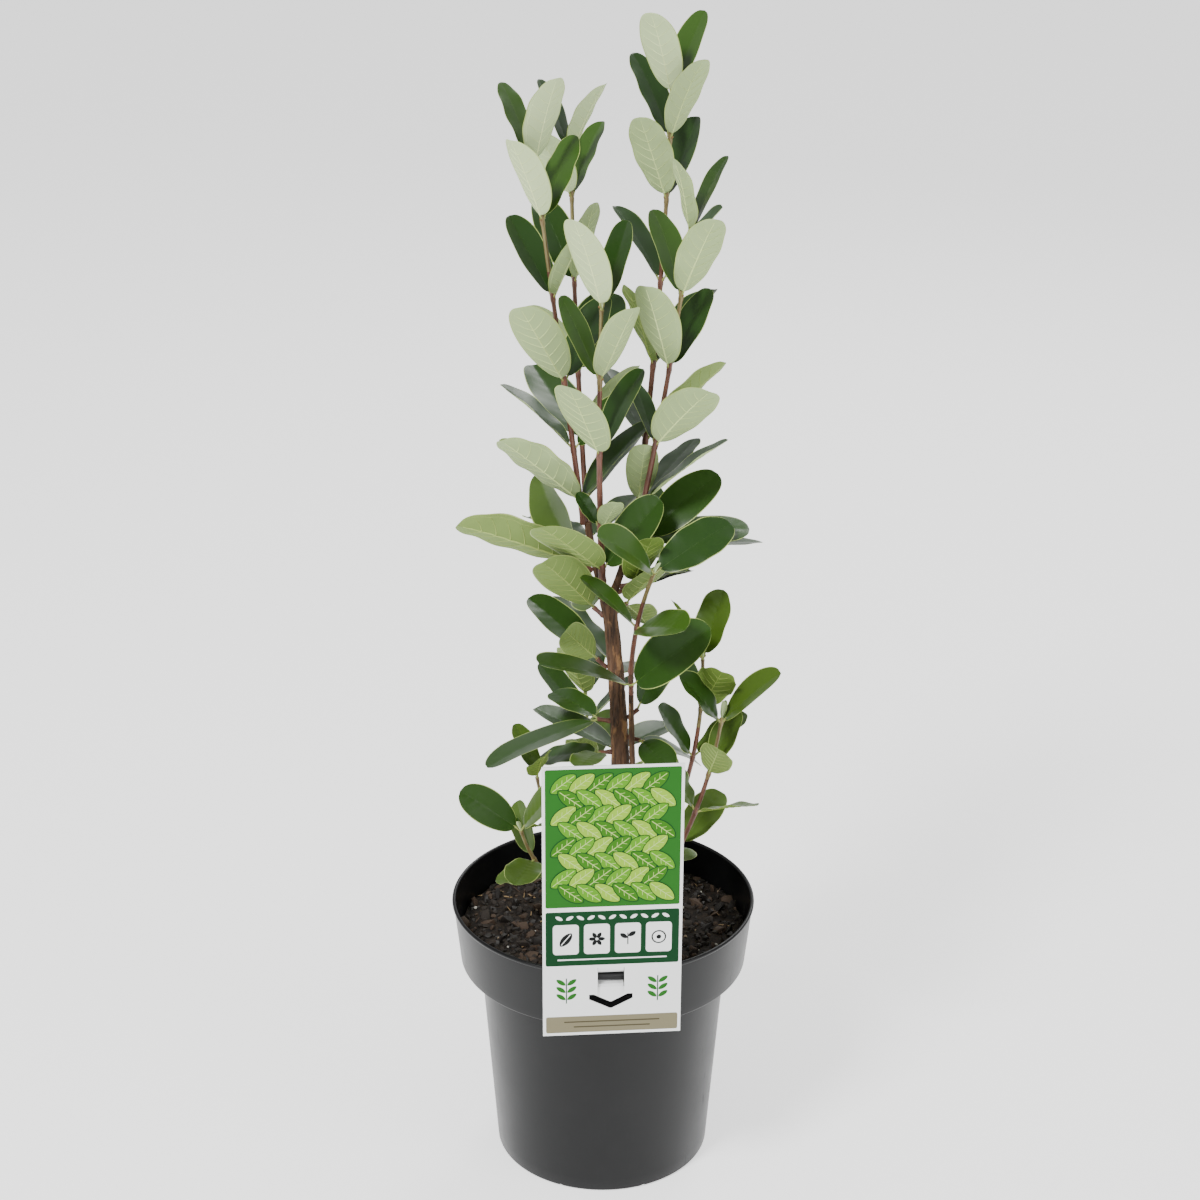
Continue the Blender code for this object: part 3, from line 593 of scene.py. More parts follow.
class Build:
    """Points and faces of one piece, each face with the number of its finish."""

    def __init__(self):
        self.points = []
        self.faces = []
        self.numbers = []

    def add(self, points, faces, number):
        start = len(self.points)
        self.points += [tuple(point) for point in points]
        self.faces += [tuple(start + k for k in face) for face in faces]
        numbers = number if isinstance(number, list) else [number] * len(faces)
        self.numbers += numbers


def link(thing):
    bpy.context.scene.collection.objects.link(thing)
    return thing


def mesh_from(name, points, faces):
    """A mesh in metres, from points in millimetres."""
    mesh = bpy.data.meshes.new(name)
    mesh.from_pydata((np.array(points) * MM).tolist(), [], faces)
    return mesh


def turn_outward(mesh):
    shape = bmesh.new()
    shape.from_mesh(mesh)
    bmesh.ops.recalc_face_normals(shape, faces=shape.faces)
    shape.to_mesh(mesh)
    shape.free()


def smooth(mesh, angle):
    mesh.shade_smooth()
    mesh.set_sharp_from_angle(angle=math.radians(angle))


def new_piece(name, build, finishes, smooth_angle=60):
    mesh = mesh_from(name, build.points, build.faces)
    for material in finishes:
        mesh.materials.append(material)
    mesh.polygons.foreach_set("material_index", build.numbers)
    turn_outward(mesh)
    smooth(mesh, smooth_angle)
    piece = link(bpy.data.objects.new(name, mesh))
    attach(piece, "root")
    return piece


def circle(sides):
    """The angles of a ring's corners."""
    return [2 * math.pi * k / sides for k in range(sides)]


def tube_mesh(stations, sides, level_ends=False):
    """A closed tube through stations of a middle, a direction and a radius for each side."""
    points = []
    for number, (middle, direction, radii) in enumerate(stations):
        if level_ends and number in (0, len(stations) - 1):
            direction = UP
        sideways = frame_along(direction)
        points += [middle + outward_at(sideways, angle) * radius
                   for angle, radius in zip(circle(sides), radii)]
    return points, ring_faces(len(stations), sides)


# Leaves

BLADE_ROWS = 34
BLADE_COLUMNS = (-1.0, -0.955, -0.8, -0.58, -0.34, -0.11, 0.0, 0.11, 0.34, 0.58, 0.8, 0.955, 1.0)
BLADE_DEPTH = 0.24  # half its thickness at the midrib
SIDE_VEINS = 7
VEIN_START, VEIN_END = 0.07, 0.80  # where the first and last side veins leave the midrib
VEIN_RISE = 0.17  # how far towards the leaf's end a side vein climbs
VEIN_REACH = 0.80  # the share of the half width at which they meet the edge vein
VEIN_STARTS = np.linspace(VEIN_START, VEIN_END, SIDE_VEINS)
VEIN_SPACING = (VEIN_END - VEIN_START) / (SIDE_VEINS - 1)
STALK_SIDES = 8
SWELLS = (0.16, 0.22, 0.34, 0.40)  # how far a blade rises between its veins, by age
SWELL_PLAY = (0.8, 1.25)
RIPPLE_RANGE = (0.2, 0.9)  # the height of the waves along a leaf's edge
RIPPLE_COUNTS = (1, 2, 2, 3)
CURL_RANGE = (-0.01, 0.05)
LIGHT_BASAL = 0.6  # the share of the basal leaves that are light green
DARK_SPUR = 0.65  # the share of the spurs' leaves that are dark
YOUNG_TOP = 0.55  # the share of the top leaves that are young
MATURE_MIDDLE = 0.5  # the share of the middle leaves that are mature, not old
USUAL_LENGTH = 60.0  # the leaf that the veins' widths are given for
TIP_LENGTHS = (9, 13)  # the folded leaves at a shoot's end
TIP_OPENING, TIP_WIDTH, TIP_FOLD = 0.16, 0.34, 0.7

# One leaf as drawn: its age, and the small waves that only it has
Look = namedtuple("Look", "leaf age swell ripple ripples phase curl")
Grown = namedtuple("Grown", "name shoot ends leaves")


def tree_of_node(name):
    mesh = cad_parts[name].data
    points = [vertex.co / MM for vertex in mesh.vertices]
    return tree_of(points, [tuple(face.vertices) for face in mesh.polygons])


def grow_leaves(shoot, stem, taken):
    """A pair of leaves at each node, turned a right angle from the pair below it, with its order."""
    leaves, mates = [], []
    for order, seed in enumerate(shoot.seeds):
        rng = random.Random(seed)
        place, direction, turn, spread, sizes = pair_plan(shoot, stem, order)
        for half, size in zip((0, 180), sizes):
            leaf = fitted_leaf(place, direction, turn + half, spread, size, rng, taken, mates)
            if leaf:
                leaves.append((order, leaf))
                mates.append(tree_of(*leaf_mesh(leaf, 0.0, False)))
    return leaves


def grow_plant():
    """The stem and the leaves of every shoot, by the same rule and seeds as the solids."""
    taken = [tree_of_node(name) for name in ("pot", "soil", "label", "trunk", *LIMBS)]
    plans = [(name, shoot, shoot_stem(shoot)) for name, shoot in SHOOTS.items()]
    plans += [(name, *spur_as_shoot(spur)) for name, spur in SPURS.items()]
    trees = []
    for name, shoot, ends in plans:
        rings = SPUR_RINGS if name in SPURS else SHOOT_RINGS
        stations = stem_stations(ends, shoot.girth, rings, TWIG_SIDES)
        trees.append(tree_of(*tube_mesh(stations, TWIG_SIDES, shoot.height is None)))
    grown = []
    for number, (name, shoot, ends) in enumerate(plans):
        leaves = grow_leaves(shoot, ends, taken + trees[:number] + trees[number + 1:])
        trees[number] = tree_of_node(name)
        grown.append(Grown(name, shoot, ends, leaves))
    return grown


def leaf_age(name, shoot, order, rng):
    """0 for young leaves, 1 for mature ones, 2 for old ones, and 3 for light green basal ones."""
    if name.startswith("base"):
        return 3 if rng.random() < LIGHT_BASAL else 2
    if name in SPURS:
        return 2 if rng.random() < DARK_SPUR else 3
    from_top = len(shoot.nodes) - 1 - order
    if from_top <= 1:
        return 0 if rng.random() < YOUNG_TOP else 1
    return 1 if from_top <= 3 or rng.random() < MATURE_MIDDLE else 2


def leaf_look(name, shoot, order, leaf, rng):
    age = leaf_age(name, shoot, order, rng)
    swell = SWELLS[age] * rng.uniform(*SWELL_PLAY)
    ripple = rng.uniform(*RIPPLE_RANGE) * (0.6 + 0.3 * age)
    curl = rng.uniform(*CURL_RANGE)
    return Look(leaf, age, swell, ripple, rng.choice(RIPPLE_COUNTS), rng.uniform(0, 6.28), curl)


def vein_climb(t):
    return VEIN_RISE * np.abs(t) ** 1.35


def half_depth(s, t):
    """Half the blade's thickness, which thins towards its margin and its end."""
    return BLADE_DEPTH * np.sqrt(np.clip(1 - t ** 2, 0, 1)) * (1.25 - 0.6 * s)


def sheet(look, s, t):
    """Places on the blade's middle sheet, s along it from 0 to 1 and t across it from -1 to 1."""
    leaf = look.leaf
    s, t = np.broadcast_arrays(np.asarray(s, float), np.asarray(t, float))
    half = leaf_half_width(leaf, np.clip(s, 1e-6, 1 - 1e-6))
    half = np.where(s < 0.5, np.maximum(half, PETIOLE_HALF), half) * (s < 0.9999)
    phase = (s - VEIN_START - vein_climb(t)) / VEIN_SPACING
    ends = np.clip(s * 9, 0, 1) * np.clip((1 - s) * 7, 0, 1)
    lift = look.swell * (np.abs(np.sin(np.pi * phase)) ** 0.8 - 0.6) * (1 - t ** 4) * ends
    lift -= 0.7 * look.swell * np.exp(-(t / 0.10) ** 2) * ends
    lift += leaf.fold * half * np.abs(t) ** 1.3
    side_shift = np.where(t > 0, 1.3, 0.0)
    lift += look.ripple * np.sin(2 * np.pi * look.ripples * s + look.phase + side_shift) * t ** 2 * ends
    lift -= leaf.sag * leaf.length * s ** 2 + look.curl * leaf.length * np.clip(s - 0.75, 0, 1) * 2
    side = leaf.face.cross(leaf.along)
    distance = leaf.petiole + leaf.length * s
    foot, along, face, side = (np.array(v) for v in (leaf.foot, leaf.along, leaf.face, side))
    return (foot + along * distance[..., None] + side * (half * t)[..., None] + face * lift[..., None])


def blade(look):
    """The two sides of a blade as one closed skin, with its margin faces named apart."""
    share = np.arange(BLADE_ROWS) / BLADE_ROWS
    rows = 0.45 * share + 0.55 * (1 - np.cos(np.pi * share)) / 2
    columns = np.array(BLADE_COLUMNS)
    count = len(columns)
    middle = sheet(look, rows[:, None], columns[None, :])
    depth = half_depth(rows[:, None], columns[None, :])[..., None]
    face = np.array(look.leaf.face)
    top = (middle + face * depth).reshape(-1, 3)
    bottom = (middle - face * depth)[:, 1:-1].reshape(-1, 3)
    tip = sheet(look, 1.0, 0.0).reshape(1, 3)
    points = np.vstack([top, bottom, tip])
    last = len(points) - 1

    def upper(i, j):
        return last if i == BLADE_ROWS else i * count + j

    def under(i, j):
        if i == BLADE_ROWS:
            return last
        return upper(i, j) if j in (0, count - 1) else len(top) + i * (count - 2) + j - 1

    faces, numbers = [], []
    for i in range(BLADE_ROWS):
        for j in range(count - 1):
            rim = j in (0, count - 2)
            for corner, side in ((upper, UPPER_SIDE), (under, UNDERSIDE)):
                quad = [corner(i, j), corner(i + 1, j), corner(i + 1, j + 1), corner(i, j + 1)]
                if i == BLADE_ROWS - 1:
                    quad = [quad[0], last, quad[3]]
                faces.append(quad if side == UPPER_SIDE else quad[::-1])
                numbers.append(LEAF_MARGIN if rim else side + look.age)
    foot = [upper(0, j) for j in range(count)] + [under(0, j) for j in range(count - 2, 0, -1)]
    faces.append(foot)
    numbers.append(UNDERSIDE + look.age)
    return points, faces, numbers


def vein(look, s, t, half, height, side):
    """A low ridge of three sides that follows s and t on the blade, on the side that face gives."""
    s, t = np.asarray(s, float), np.asarray(t, float)
    face = np.array(look.leaf.face) * side
    middle = sheet(look, s, t) + face * half_depth(s, t)[:, None]
    along = np.gradient(middle, axis=0)
    along /= np.linalg.norm(along, axis=1)[:, None]
    across = np.cross(face, along) * side
    fade = np.linspace(1.0, 0.35, len(s))[:, None]
    sunk = face * 0.12
    left = middle - across * half * fade - sunk
    right = middle + across * half * fade - sunk
    ridge = middle + face * height * fade
    points = np.stack([left, ridge, right], axis=1).reshape(-1, 3)
    return points, ring_faces(len(s), 3)


def side_lines(look, reach, end_reach, parts, last, half, height, side):
    """The side veins or their creases, in pairs up the leaf. Those near its end are shorter."""
    built = []
    for start in VEIN_STARTS:
        for hand in (-1, 1):
            t = hand * np.linspace(0.02, reach if start < 0.7 else end_reach, parts)
            s = np.minimum(start + vein_climb(t), last)
            built.append(vein(look, s, t, half, height, side))
    return built


def leaf_veins(look):
    """The midrib, side veins and the vein that joins them near the edge, on the underside."""
    scale = look.leaf.length / USUAL_LENGTH
    span = np.linspace(0.0, 0.95, 18)
    built = [vein(look, span, span * 0, 0.72 * scale, 0.55 * scale, -1)]
    built += side_lines(look, VEIN_REACH, 0.66, 8, 0.965, 0.27 * scale, 0.18 * scale, -1)
    edge = np.linspace(0.12, 0.93, 26)
    scallop = VEIN_REACH + 0.035 * np.sin(np.pi * (edge - VEIN_START) / VEIN_SPACING) ** 2
    for side in (-1, 1):
        built.append(vein(look, edge, side * scallop, 0.17 * scale, 0.11 * scale, -1))
    return built


def leaf_creases(look):
    """The paler lines of the midrib and side veins on the upper side."""
    scale = look.leaf.length / USUAL_LENGTH
    span = np.linspace(0.0, 0.93, 16)
    built = [vein(look, span, span * 0, 0.36 * scale, 0.13, 1)]
    reach = VEIN_REACH - 0.08
    return built + side_lines(look, reach, reach, 6, 0.96, 0.15 * scale, 0.08, 1)


def leaf_stalk(leaf):
    stations = []
    for share in (0.0, 0.12, 0.4, 0.7, 1.0, 1.25):
        middle = leaf.foot + leaf.along * leaf.petiole * share
        radius = PETIOLE_HALF * (1.15 - 0.35 * min(share * 2, 1.0))
        stations.append((middle, leaf.along, [radius if share < 1.2 else 0.35] * STALK_SIDES))
    return tube_mesh(stations, STALK_SIDES)


def add_leaf(build, look):
    build.add(*blade(look))
    for points, faces in leaf_veins(look):
        build.add(points, faces, RAISED_VEIN + look.age)
    for points, faces in leaf_creases(look):
        build.add(points, faces, VEIN_CREASE + look.age)
    build.add(*leaf_stalk(look.leaf), LEAF_STALK)


def tip_leaves(grown, rng):
    """The folded pair of new leaves at a shoot's end."""
    direction = bowed_direction(*grown.ends, 1)
    turn = math.radians(grown.shoot.turn + 90 * len(grown.shoot.nodes))
    looks = []
    for half in (0, math.pi):
        outward = outward_at(frame_along(direction), turn + half)
        along = (direction + outward * TIP_OPENING).normalized()
        face = (-outward + along * outward.dot(along)).normalized()
        length = rng.uniform(*TIP_LENGTHS)
        leaf = Leaf(grown.ends[2] - direction, along, face, 1.2, length, length * TIP_WIDTH, 0.0, TIP_FOLD)
        looks.append(Look(leaf, 0, 0.05, 0.1, 1, 0.0, 0.0))
    return looks


def make_foliage(plant):
    """The leaves of each mass as one piece, which stands for that mass's solid."""
    finishes = leaf_finishes()
    rng = random.Random(5)
    for grown in plant:
        build = Build()
        for order, leaf in grown.leaves:
            add_leaf(build, leaf_look(grown.name, grown.shoot, order, leaf, rng))
        if grown.name in SHOOTS:
            for look in tip_leaves(grown, rng):
                add_leaf(build, look)
        piece = new_piece(f"{grown.name}_leaves", build, finishes, 75)
        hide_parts(grown.name)


# Stems, boughs and the trunk

STEM_SIDES = 12
STEM_STEP = 1.6
NODE_SWELL = 0.42
GREEN_TOP = 0.72  # past this share of its length a shoot is still green
STEM_SUNK = 1.2  # how far a stem starts inside its limb
BUD_SIDES = 7


def stem_radius(shoot, share, distance):
    swell = sum(NODE_SWELL * math.exp(-((distance - node) / 2.0) ** 2) for node in shoot.nodes)
    return tapered(shoot.girth, share) + swell


def add_stem(build, grown):
    length = stem_length(*grown.ends)
    rings = max(6, int(length / STEM_STEP))
    first = bowed_direction(*grown.ends, 0)
    stations = [(grown.ends[0] - first * STEM_SUNK, first, [grown.shoot.girth[0] * 1.15] * STEM_SIDES)]
    numbers = [0]
    for share, middle, direction in along_stem(grown.ends, rings + 1):
        rough = noise.noise(middle * 0.12) * 0.12
        collar = 0.5 * math.exp(-share * length / 2.5)
        radius = stem_radius(grown.shoot, share, share * length) + rough + collar
        radii = [radius + 0.06 * math.cos(4 * angle) for angle in circle(STEM_SIDES)]
        stations.append((middle, direction, radii))
        numbers += [int(share > GREEN_TOP and grown.name in SHOOTS)] * STEM_SIDES
    numbers.append(numbers[-1])
    build.add(*tube_mesh(stations, STEM_SIDES), numbers)


def add_bud(build, place, direction, size):
    """A small pointed bud in the angle between stem and stalk."""
    stations = []
    for share, radius in ((0.0, 0.5), (0.25, 0.95), (0.55, 0.85), (0.85, 0.4), (1.0, 0.1)):
        middle = place + direction * size * share * 2.2
        stations.append((middle, direction, [radius * size * 0.62] * BUD_SIDES))
    build.add(*tube_mesh(stations, BUD_SIDES), 2)


def make_stems(plant):
    build = Build()
    for grown in plant:
        add_stem(build, grown)
        for order, leaf in grown.leaves:
            share = node_share(grown.shoot, grown.ends, order)
            direction = bowed_direction(*grown.ends, share)
            outward = (leaf.along - direction * leaf.along.dot(direction)).normalized()
            radius = stem_radius(grown.shoot, share, grown.shoot.nodes[order])
            add_bud(build, leaf.foot + outward * radius * 0.8 + direction * 1.3,
                    (direction * 1.4 + outward).normalized(), 0.9)
    finishes = [young_bark("red brown stem", (0.075, 0.026, 0.017), (0.20, 0.075, 0.045)),
                young_bark("green stem", (0.14, 0.085, 0.03), (0.26, 0.22, 0.085)),
                plain("bud scale", (0.24, 0.13, 0.05), 0.5)]
    new_piece("stems", build, finishes)


TRUNK_SUNK = 3.0  # how far its foot goes into the potting mix
TRUNK_RINGS_FINE = 250
TRUNK_SIDES_FINE = 54
LIMB_SIDES_FINE = 30
LIMB_STEP = 1.3
LIMB_SWELLINGS = {"second_stem": 1.6}
BARK_DEPTH = 0.62
LIMB_BARK_DEPTH = 0.34 * BARK_DEPTH
CROWN_FROM = 0.985  # past this share of its height the trunk closes at the fork


def streaky(place, across, along, shift=(0, 0, 0)):
    """Noise that is drawn out along the height."""
    return noise.noise(place * Vector((across, across, along)) + Vector(shift))


def bark_relief(place, depth):
    """Long fissures between flat plates, with fine grain over both."""
    fissure = math.exp(-(streaky(place, 0.30, 0.045, (7, 3, 1)) / 0.06) ** 2)
    plate = streaky(place, 0.55, 0.10)
    return depth * (0.55 * plate - 1.1 * fissure + 0.22 * streaky(place, 1.9, 0.3))


def rough_ring(middle, direction, radius_at, sides, depth):
    sideways = frame_along(direction)
    radii = []
    for angle in circle(sides):
        radius = radius_at(angle)
        radii.append(radius + bark_relief(middle + outward_at(sideways, angle) * radius, depth))
    return middle, direction, radii


def rough_trunk():
    stations = []
    for ring in range(TRUNK_RINGS_FINE):
        share = ring / (TRUNK_RINGS_FINE - 1)
        z = TRUNK_FOOT.z - TRUNK_SUNK + (FORK.z - TRUNK_FOOT.z + TRUNK_SUNK) * share
        level = max(z, TRUNK_FOOT.z)
        middle, ahead, _ = limb_at("trunk", level)
        middle.z = z
        crown = 1 - max(0.0, (share - CROWN_FROM) / (1 - CROWN_FROM)) * 0.45
        stations.append(rough_ring(middle, ahead, lambda angle: trunk_radius(level, angle) * crown,
                                   TRUNK_SIDES_FINE, BARK_DEPTH))
    return tube_mesh(stations, TRUNK_SIDES_FINE, True)


def rough_limb(name, limb):
    """A bough with a swollen foot, which starts two rings inside what carries it."""
    ends = limb_ends(limb)
    rings = max(8, int((ends[2] - ends[0]).length / LIMB_STEP))
    swelling = LIMB_SWELLINGS.get(name, 0.9)
    stations = []
    for ring in range(-2, rings + 1):
        share = max(ring, 0) / rings
        middle = bowed(*ends, share) + UP * min(ring, 0) * 1.6
        radius = tapered(limb.girth, share) + swelling * math.exp(-max(ring, 0) * LIMB_STEP / 3.2)
        stations.append(rough_ring(middle, bowed_direction(*ends, share), lambda angle: radius,
                                   LIMB_SIDES_FINE, LIMB_BARK_DEPTH))
    return tube_mesh(stations, LIMB_SIDES_FINE, True)


def make_trunk_and_boughs():
    build = Build()
    build.add(*rough_trunk(), 0)
    for name, limb in LIMBS.items():
        build.add(*rough_limb(name, limb), 0)
    piece = new_piece("trunk_and_boughs", build, [trunk_bark()])
    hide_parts("trunk", *LIMBS)


# The pot

POT_SIDES_FINE = 180
BAND_STEPS = 9
WALL_STEPS = 16
POT_SMOOTH = 32  # degrees
FOOT_ROUND, SHELF_ROUND, LIP_ROUND, CROWN_ROUND = 1.6, 1.5, 1.0, 1.3


def polar(radius, angle, x=0, y=0):
    return x + radius * math.cos(angle), y + radius * math.sin(angle)


def arc(centre, radius, start, end, parts):
    """Points of a rounded edge, as radius and height, with angles in degrees."""
    angles = [math.radians(start + (end - start) * k / parts) for k in range(parts + 1)]
    return [polar(radius, angle, *centre) for angle in angles]


def between(first, last, parts):
    """The points strictly between two places of a straight run."""
    return [tuple(a + (b - a) * k / parts for a, b in zip(first, last)) for k in range(1, parts)]


def fine_pot_profile():
    band_foot = POT_HEIGHT - BAND_DEPTH
    lip_foot = POT_HEIGHT - LIP_HEIGHT
    recess_in, recess_out = RECESS_RADII
    turn, bend = FOOT_ROUND, SHELF_ROUND
    foot = arc((FOOT_RADIUS - turn, turn), turn, -90, -8, 5)
    wall_top = (SHOULDER_RADIUS, band_foot - turn)
    shoulder = arc((SHOULDER_RADIUS + turn, band_foot - turn), turn, 180, 90, 4)
    shelf = arc((BAND_FOOT_RADIUS - bend, band_foot + bend), bend, -90, -2, 5)
    lip = arc((RIM_RADIUS - LIP_ROUND - 0.2, lip_foot + LIP_ROUND), LIP_ROUND, -80, 0, 4)
    crown = arc((RIM_RADIUS - CROWN_ROUND, POT_HEIGHT - CROWN_ROUND), CROWN_ROUND, 0, 180, 9)
    throat = (inner_radius(lip_foot), lip_foot - 0.4)
    inner_foot = (inner_radius(band_foot + WALL + 1.2), band_foot + WALL + 1.2)
    underside = [(0, 0), (recess_in, 0), (recess_in + 1, RECESS_DEPTH), (recess_out, RECESS_DEPTH),
                 (recess_out + 1, 0)]
    outside = foot + between(foot[-1], wall_top, WALL_STEPS) + shoulder + between(shoulder[-1], shelf[0], 4)
    outside += shelf + between(shelf[-1], (RIM_RADIUS - 1.0, lip_foot), BAND_STEPS) + lip + crown
    inside = [throat] + between(throat, inner_foot, BAND_STEPS) + [inner_foot]
    inside += [(inner_foot[0] - 1.2, band_foot + WALL), (SHOULDER_RADIUS - WALL + 1.2, band_foot + WALL),
               (inner_radius(band_foot), band_foot + WALL - 1.4), (inner_radius(FLOOR + 1.2), FLOOR + 1.2),
               (inner_radius(FLOOR) - 1.2, FLOOR), (0, FLOOR)]
    return underside + outside + inside


def turned(profile, sides):
    """A solid of revolution. The profile's first and last points are on the axis."""
    points = [(0, 0, profile[0][1])]
    for radius, z in profile[1:-1]:
        points += [(*polar(radius, angle), z) for angle in circle(sides)]
    points.append((0, 0, profile[-1][1]))
    rings = len(profile) - 2
    faces = [tuple(1 + corner for corner in face) for face in ring_faces(rings, sides)[1:-1]]
    last = 1 + (rings - 1) * sides
    for k in range(sides):
        following = (k + 1) % sides
        faces += [(0, 1 + following, 1 + k), (last + k, last + following, len(points) - 1)]
    return points, faces


def cutter(name, points, faces):
    mesh = mesh_from(name, points, faces)
    turn_outward(mesh)
    return link(bpy.data.objects.new(name, mesh))


def pot_cutters():
    """The slot that the label's tongue goes through, and the holes at the foot."""
    low = Vector((SLOT_X - SLOT_WIDTH / 2, -RIM_RADIUS - 5, SLOT_TOP - SLOT_HEIGHT))
    high = Vector((SLOT_X + SLOT_WIDTH / 2, -RIM_RADIUS + 12, SLOT_TOP))
    corners = [(x, y, z) for z in (low.z, high.z)
               for x, y in ((low.x, low.y), (high.x, low.y), (high.x, high.y), (low.x, high.y))]
    cutters = [cutter("slot cutter", corners, ring_faces(2, 4))]
    for number in range(DRAIN_HOLES):
        middle = outward_at(ACROSS, 2 * math.pi * (number + 0.5) / DRAIN_HOLES) * DRAIN_CIRCLE
        stations = [(middle + UP * z, UP, [DRAIN_RADIUS] * 24) for z in (-3.0, FLOOR + 3.0)]
        cutters.append(cutter("drain cutter", *tube_mesh(stations, 24)))
    return cutters


def make_pot():
    build = Build()
    build.add(*turned(fine_pot_profile(), POT_SIDES_FINE), 0)
    piece = new_piece("pot_shell", build, [pot_plastic()], POT_SMOOTH)
    cutters = pot_cutters()
    for tool in cutters:
        boolean = piece.modifiers.new("cut", "BOOLEAN")
        boolean.operation = "DIFFERENCE"
        boolean.object = tool
    bpy.context.view_layer.update()
    graph = bpy.context.evaluated_depsgraph_get()
    mesh = bpy.data.meshes.new_from_object(piece.evaluated_get(graph))
    piece.modifiers.clear()
    piece.data = mesh
    smooth(mesh, POT_SMOOTH)
    for tool in cutters:
        bpy.data.objects.remove(tool)
    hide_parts("pot")


# The potting mix

MIX_SIDES = 200
MIX_RINGS = 74
MIX_DEPTH = 12.0
CHUNKS = 1500
SPECKS = 70
SPLINTERS = 90
MIX_LUMPS = ((1.5, 0, 0.055), (1.0, 4, 0.15), (0.55, 9, 0.5))  # size, seed and scale
GOLDEN = (1 + 5 ** 0.5) / 2
LUMP_CORNERS = [Vector(corner) for a in (-1, 1) for b in (-GOLDEN, GOLDEN)
                for corner in ((0, a, b), (a, b, 0), (b, 0, a))]
LUMP_REACH = 1.9  # from a lump's middle to its corners
LUMP_EDGE = 2.1  # corners nearer than this share an edge


def mix_height(x, y):
    """The surface sinks a little towards the wall, and is lumpier there than round the stems."""
    share = max(0.0, math.hypot(x, y) - SOIL_LEVEL_RADIUS) / 60
    height = SOIL_TOP - 1.0 - 1.2 * min(share, 1)
    lumps = [size * noise.noise(Vector((x, y, seed)) * scale) for size, seed, scale in MIX_LUMPS]
    return height + (lumps[0] + lumps[1]) * min(1, 0.35 + share) + lumps[2]


def lump_points(middle, size, stretch, rng):
    """A twelve-cornered lump with jittered corners, stretched along a random direction."""
    turn = UP.rotation_difference(Vector([rng.gauss(0, 1) for _ in range(3)]).normalized())
    points = []
    for corner in LUMP_CORNERS:
        place = corner * (rng.uniform(0.75, 1.2) * size / LUMP_REACH)
        points.append(middle + turn @ (place * Vector(stretch)))
    return points


def lump_faces():
    """The twenty faces between nearest corners of the lump."""
    faces = []
    for i, j, k in combinations(range(len(LUMP_CORNERS)), 3):
        p, q, r = LUMP_CORNERS[i], LUMP_CORNERS[j], LUMP_CORNERS[k]
        if max((p - q).length, (q - r).length, (p - r).length) < LUMP_EDGE:
            outward = (q - p).cross(r - p).dot(p + q + r) > 0
            faces.append((i, j, k) if outward else (i, k, j))
    return faces


def scatter(build, count, sizes, stretch, number, sunk, rng):
    faces = lump_faces()
    limit = inner_radius(SOIL_TOP) - 2.5
    for _ in range(count):
        x, y = polar(limit * math.sqrt(rng.random()), rng.uniform(0, 2 * math.pi))
        size = rng.uniform(*sizes)
        middle = Vector((x, y, mix_height(x, y) + size * sunk))
        numbers = [number if isinstance(number, int) else rng.choice(number)] * len(faces)
        build.add(lump_points(middle, size, stretch, rng), faces, numbers)


def make_mix():
    limit = inner_radius(SOIL_TOP - 6) - 0.4
    profile = [(0, SOIL_TOP)] + [(limit * (k + 1) / MIX_RINGS, SOIL_TOP) for k in range(MIX_RINGS)]
    profile += [(limit - 0.4, SOIL_TOP - MIX_DEPTH), (0, SOIL_TOP - MIX_DEPTH)]
    points, faces = turned(profile, MIX_SIDES)
    raised = [(x, y, mix_height(x, y) if z == SOIL_TOP else z) for x, y, z in points]
    build = Build()
    build.add(raised, faces, 0)
    rng = random.Random(17)
    scatter(build, CHUNKS, (0.9, 2.6), (1.25, 1.0, 0.7), (1, 1, 2, 2, 3), 0.15, rng)
    scatter(build, CHUNKS // 8, (2.6, 4.6), (1.4, 1.0, 0.55), (1, 2, 3), 0.12, rng)
    scatter(build, SPECKS, (0.6, 1.3), (1, 1, 0.9), (4, 5), 0.35, rng)
    scatter(build, SPLINTERS, (0.7, 1.4), (3.4, 0.5, 0.45), (3, 6), 0.5, rng)
    crumbs = (("wet bark chip", (0.011, 0.008, 0.006), 0.6), ("dark crumb", (0.020, 0.014, 0.010), 0.85),
              ("brown chip", (0.052, 0.031, 0.018), 0.8), ("pale grit", (0.46, 0.44, 0.39), 0.8),
              ("tan grit", (0.26, 0.20, 0.13), 0.8), ("straw splinter", (0.30, 0.20, 0.10), 0.75))
    finishes = [potting_mix()] + [plain(*crumb) for crumb in crumbs]
    piece = new_piece("mix_surface", build, finishes, 40)
    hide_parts("soil")


# The label's print, in millimetres from the label's middle line and down from its top edge

HALF_WIDTH = LABEL_WIDTH / 2
BORDER = 1.9
LAYER = 0.03  # the thickness of one layer of ink
PATTERN_FOOT = 96.0
BLOCK_TOP, BLOCK_FOOT = 99.0, 137.0
ICON_SIZE = (16.0, 21.0)
ICON_STEP = 19.2
ICON_TOP = 108.0
STRIP_TOP = 173.5
PATTERN_ROWS, PATTERN_COLUMNS = 8, 6
PATTERN_STEPS = (11.2, 10.7)  # across and down
PATTERN_LEAF = (19.0, 9.0)  # length and width
PATTERN_LEAN = math.radians(38)

INKS = {
    "dark green": (0.0015, 0.040, 0.010), "leaf green": (0.018, 0.125, 0.013),
    "white": (0.86, 0.87, 0.86), "beige": (0.20, 0.18, 0.11), "black": (0.006, 0.007, 0.007),
    "bright green": (0.10, 0.30, 0.012), "mid green": (0.040, 0.17, 0.008),
    "yellow green": (0.26, 0.46, 0.030), "pale line": (0.45, 0.62, 0.18), "brown": (0.07, 0.06, 0.035),
}


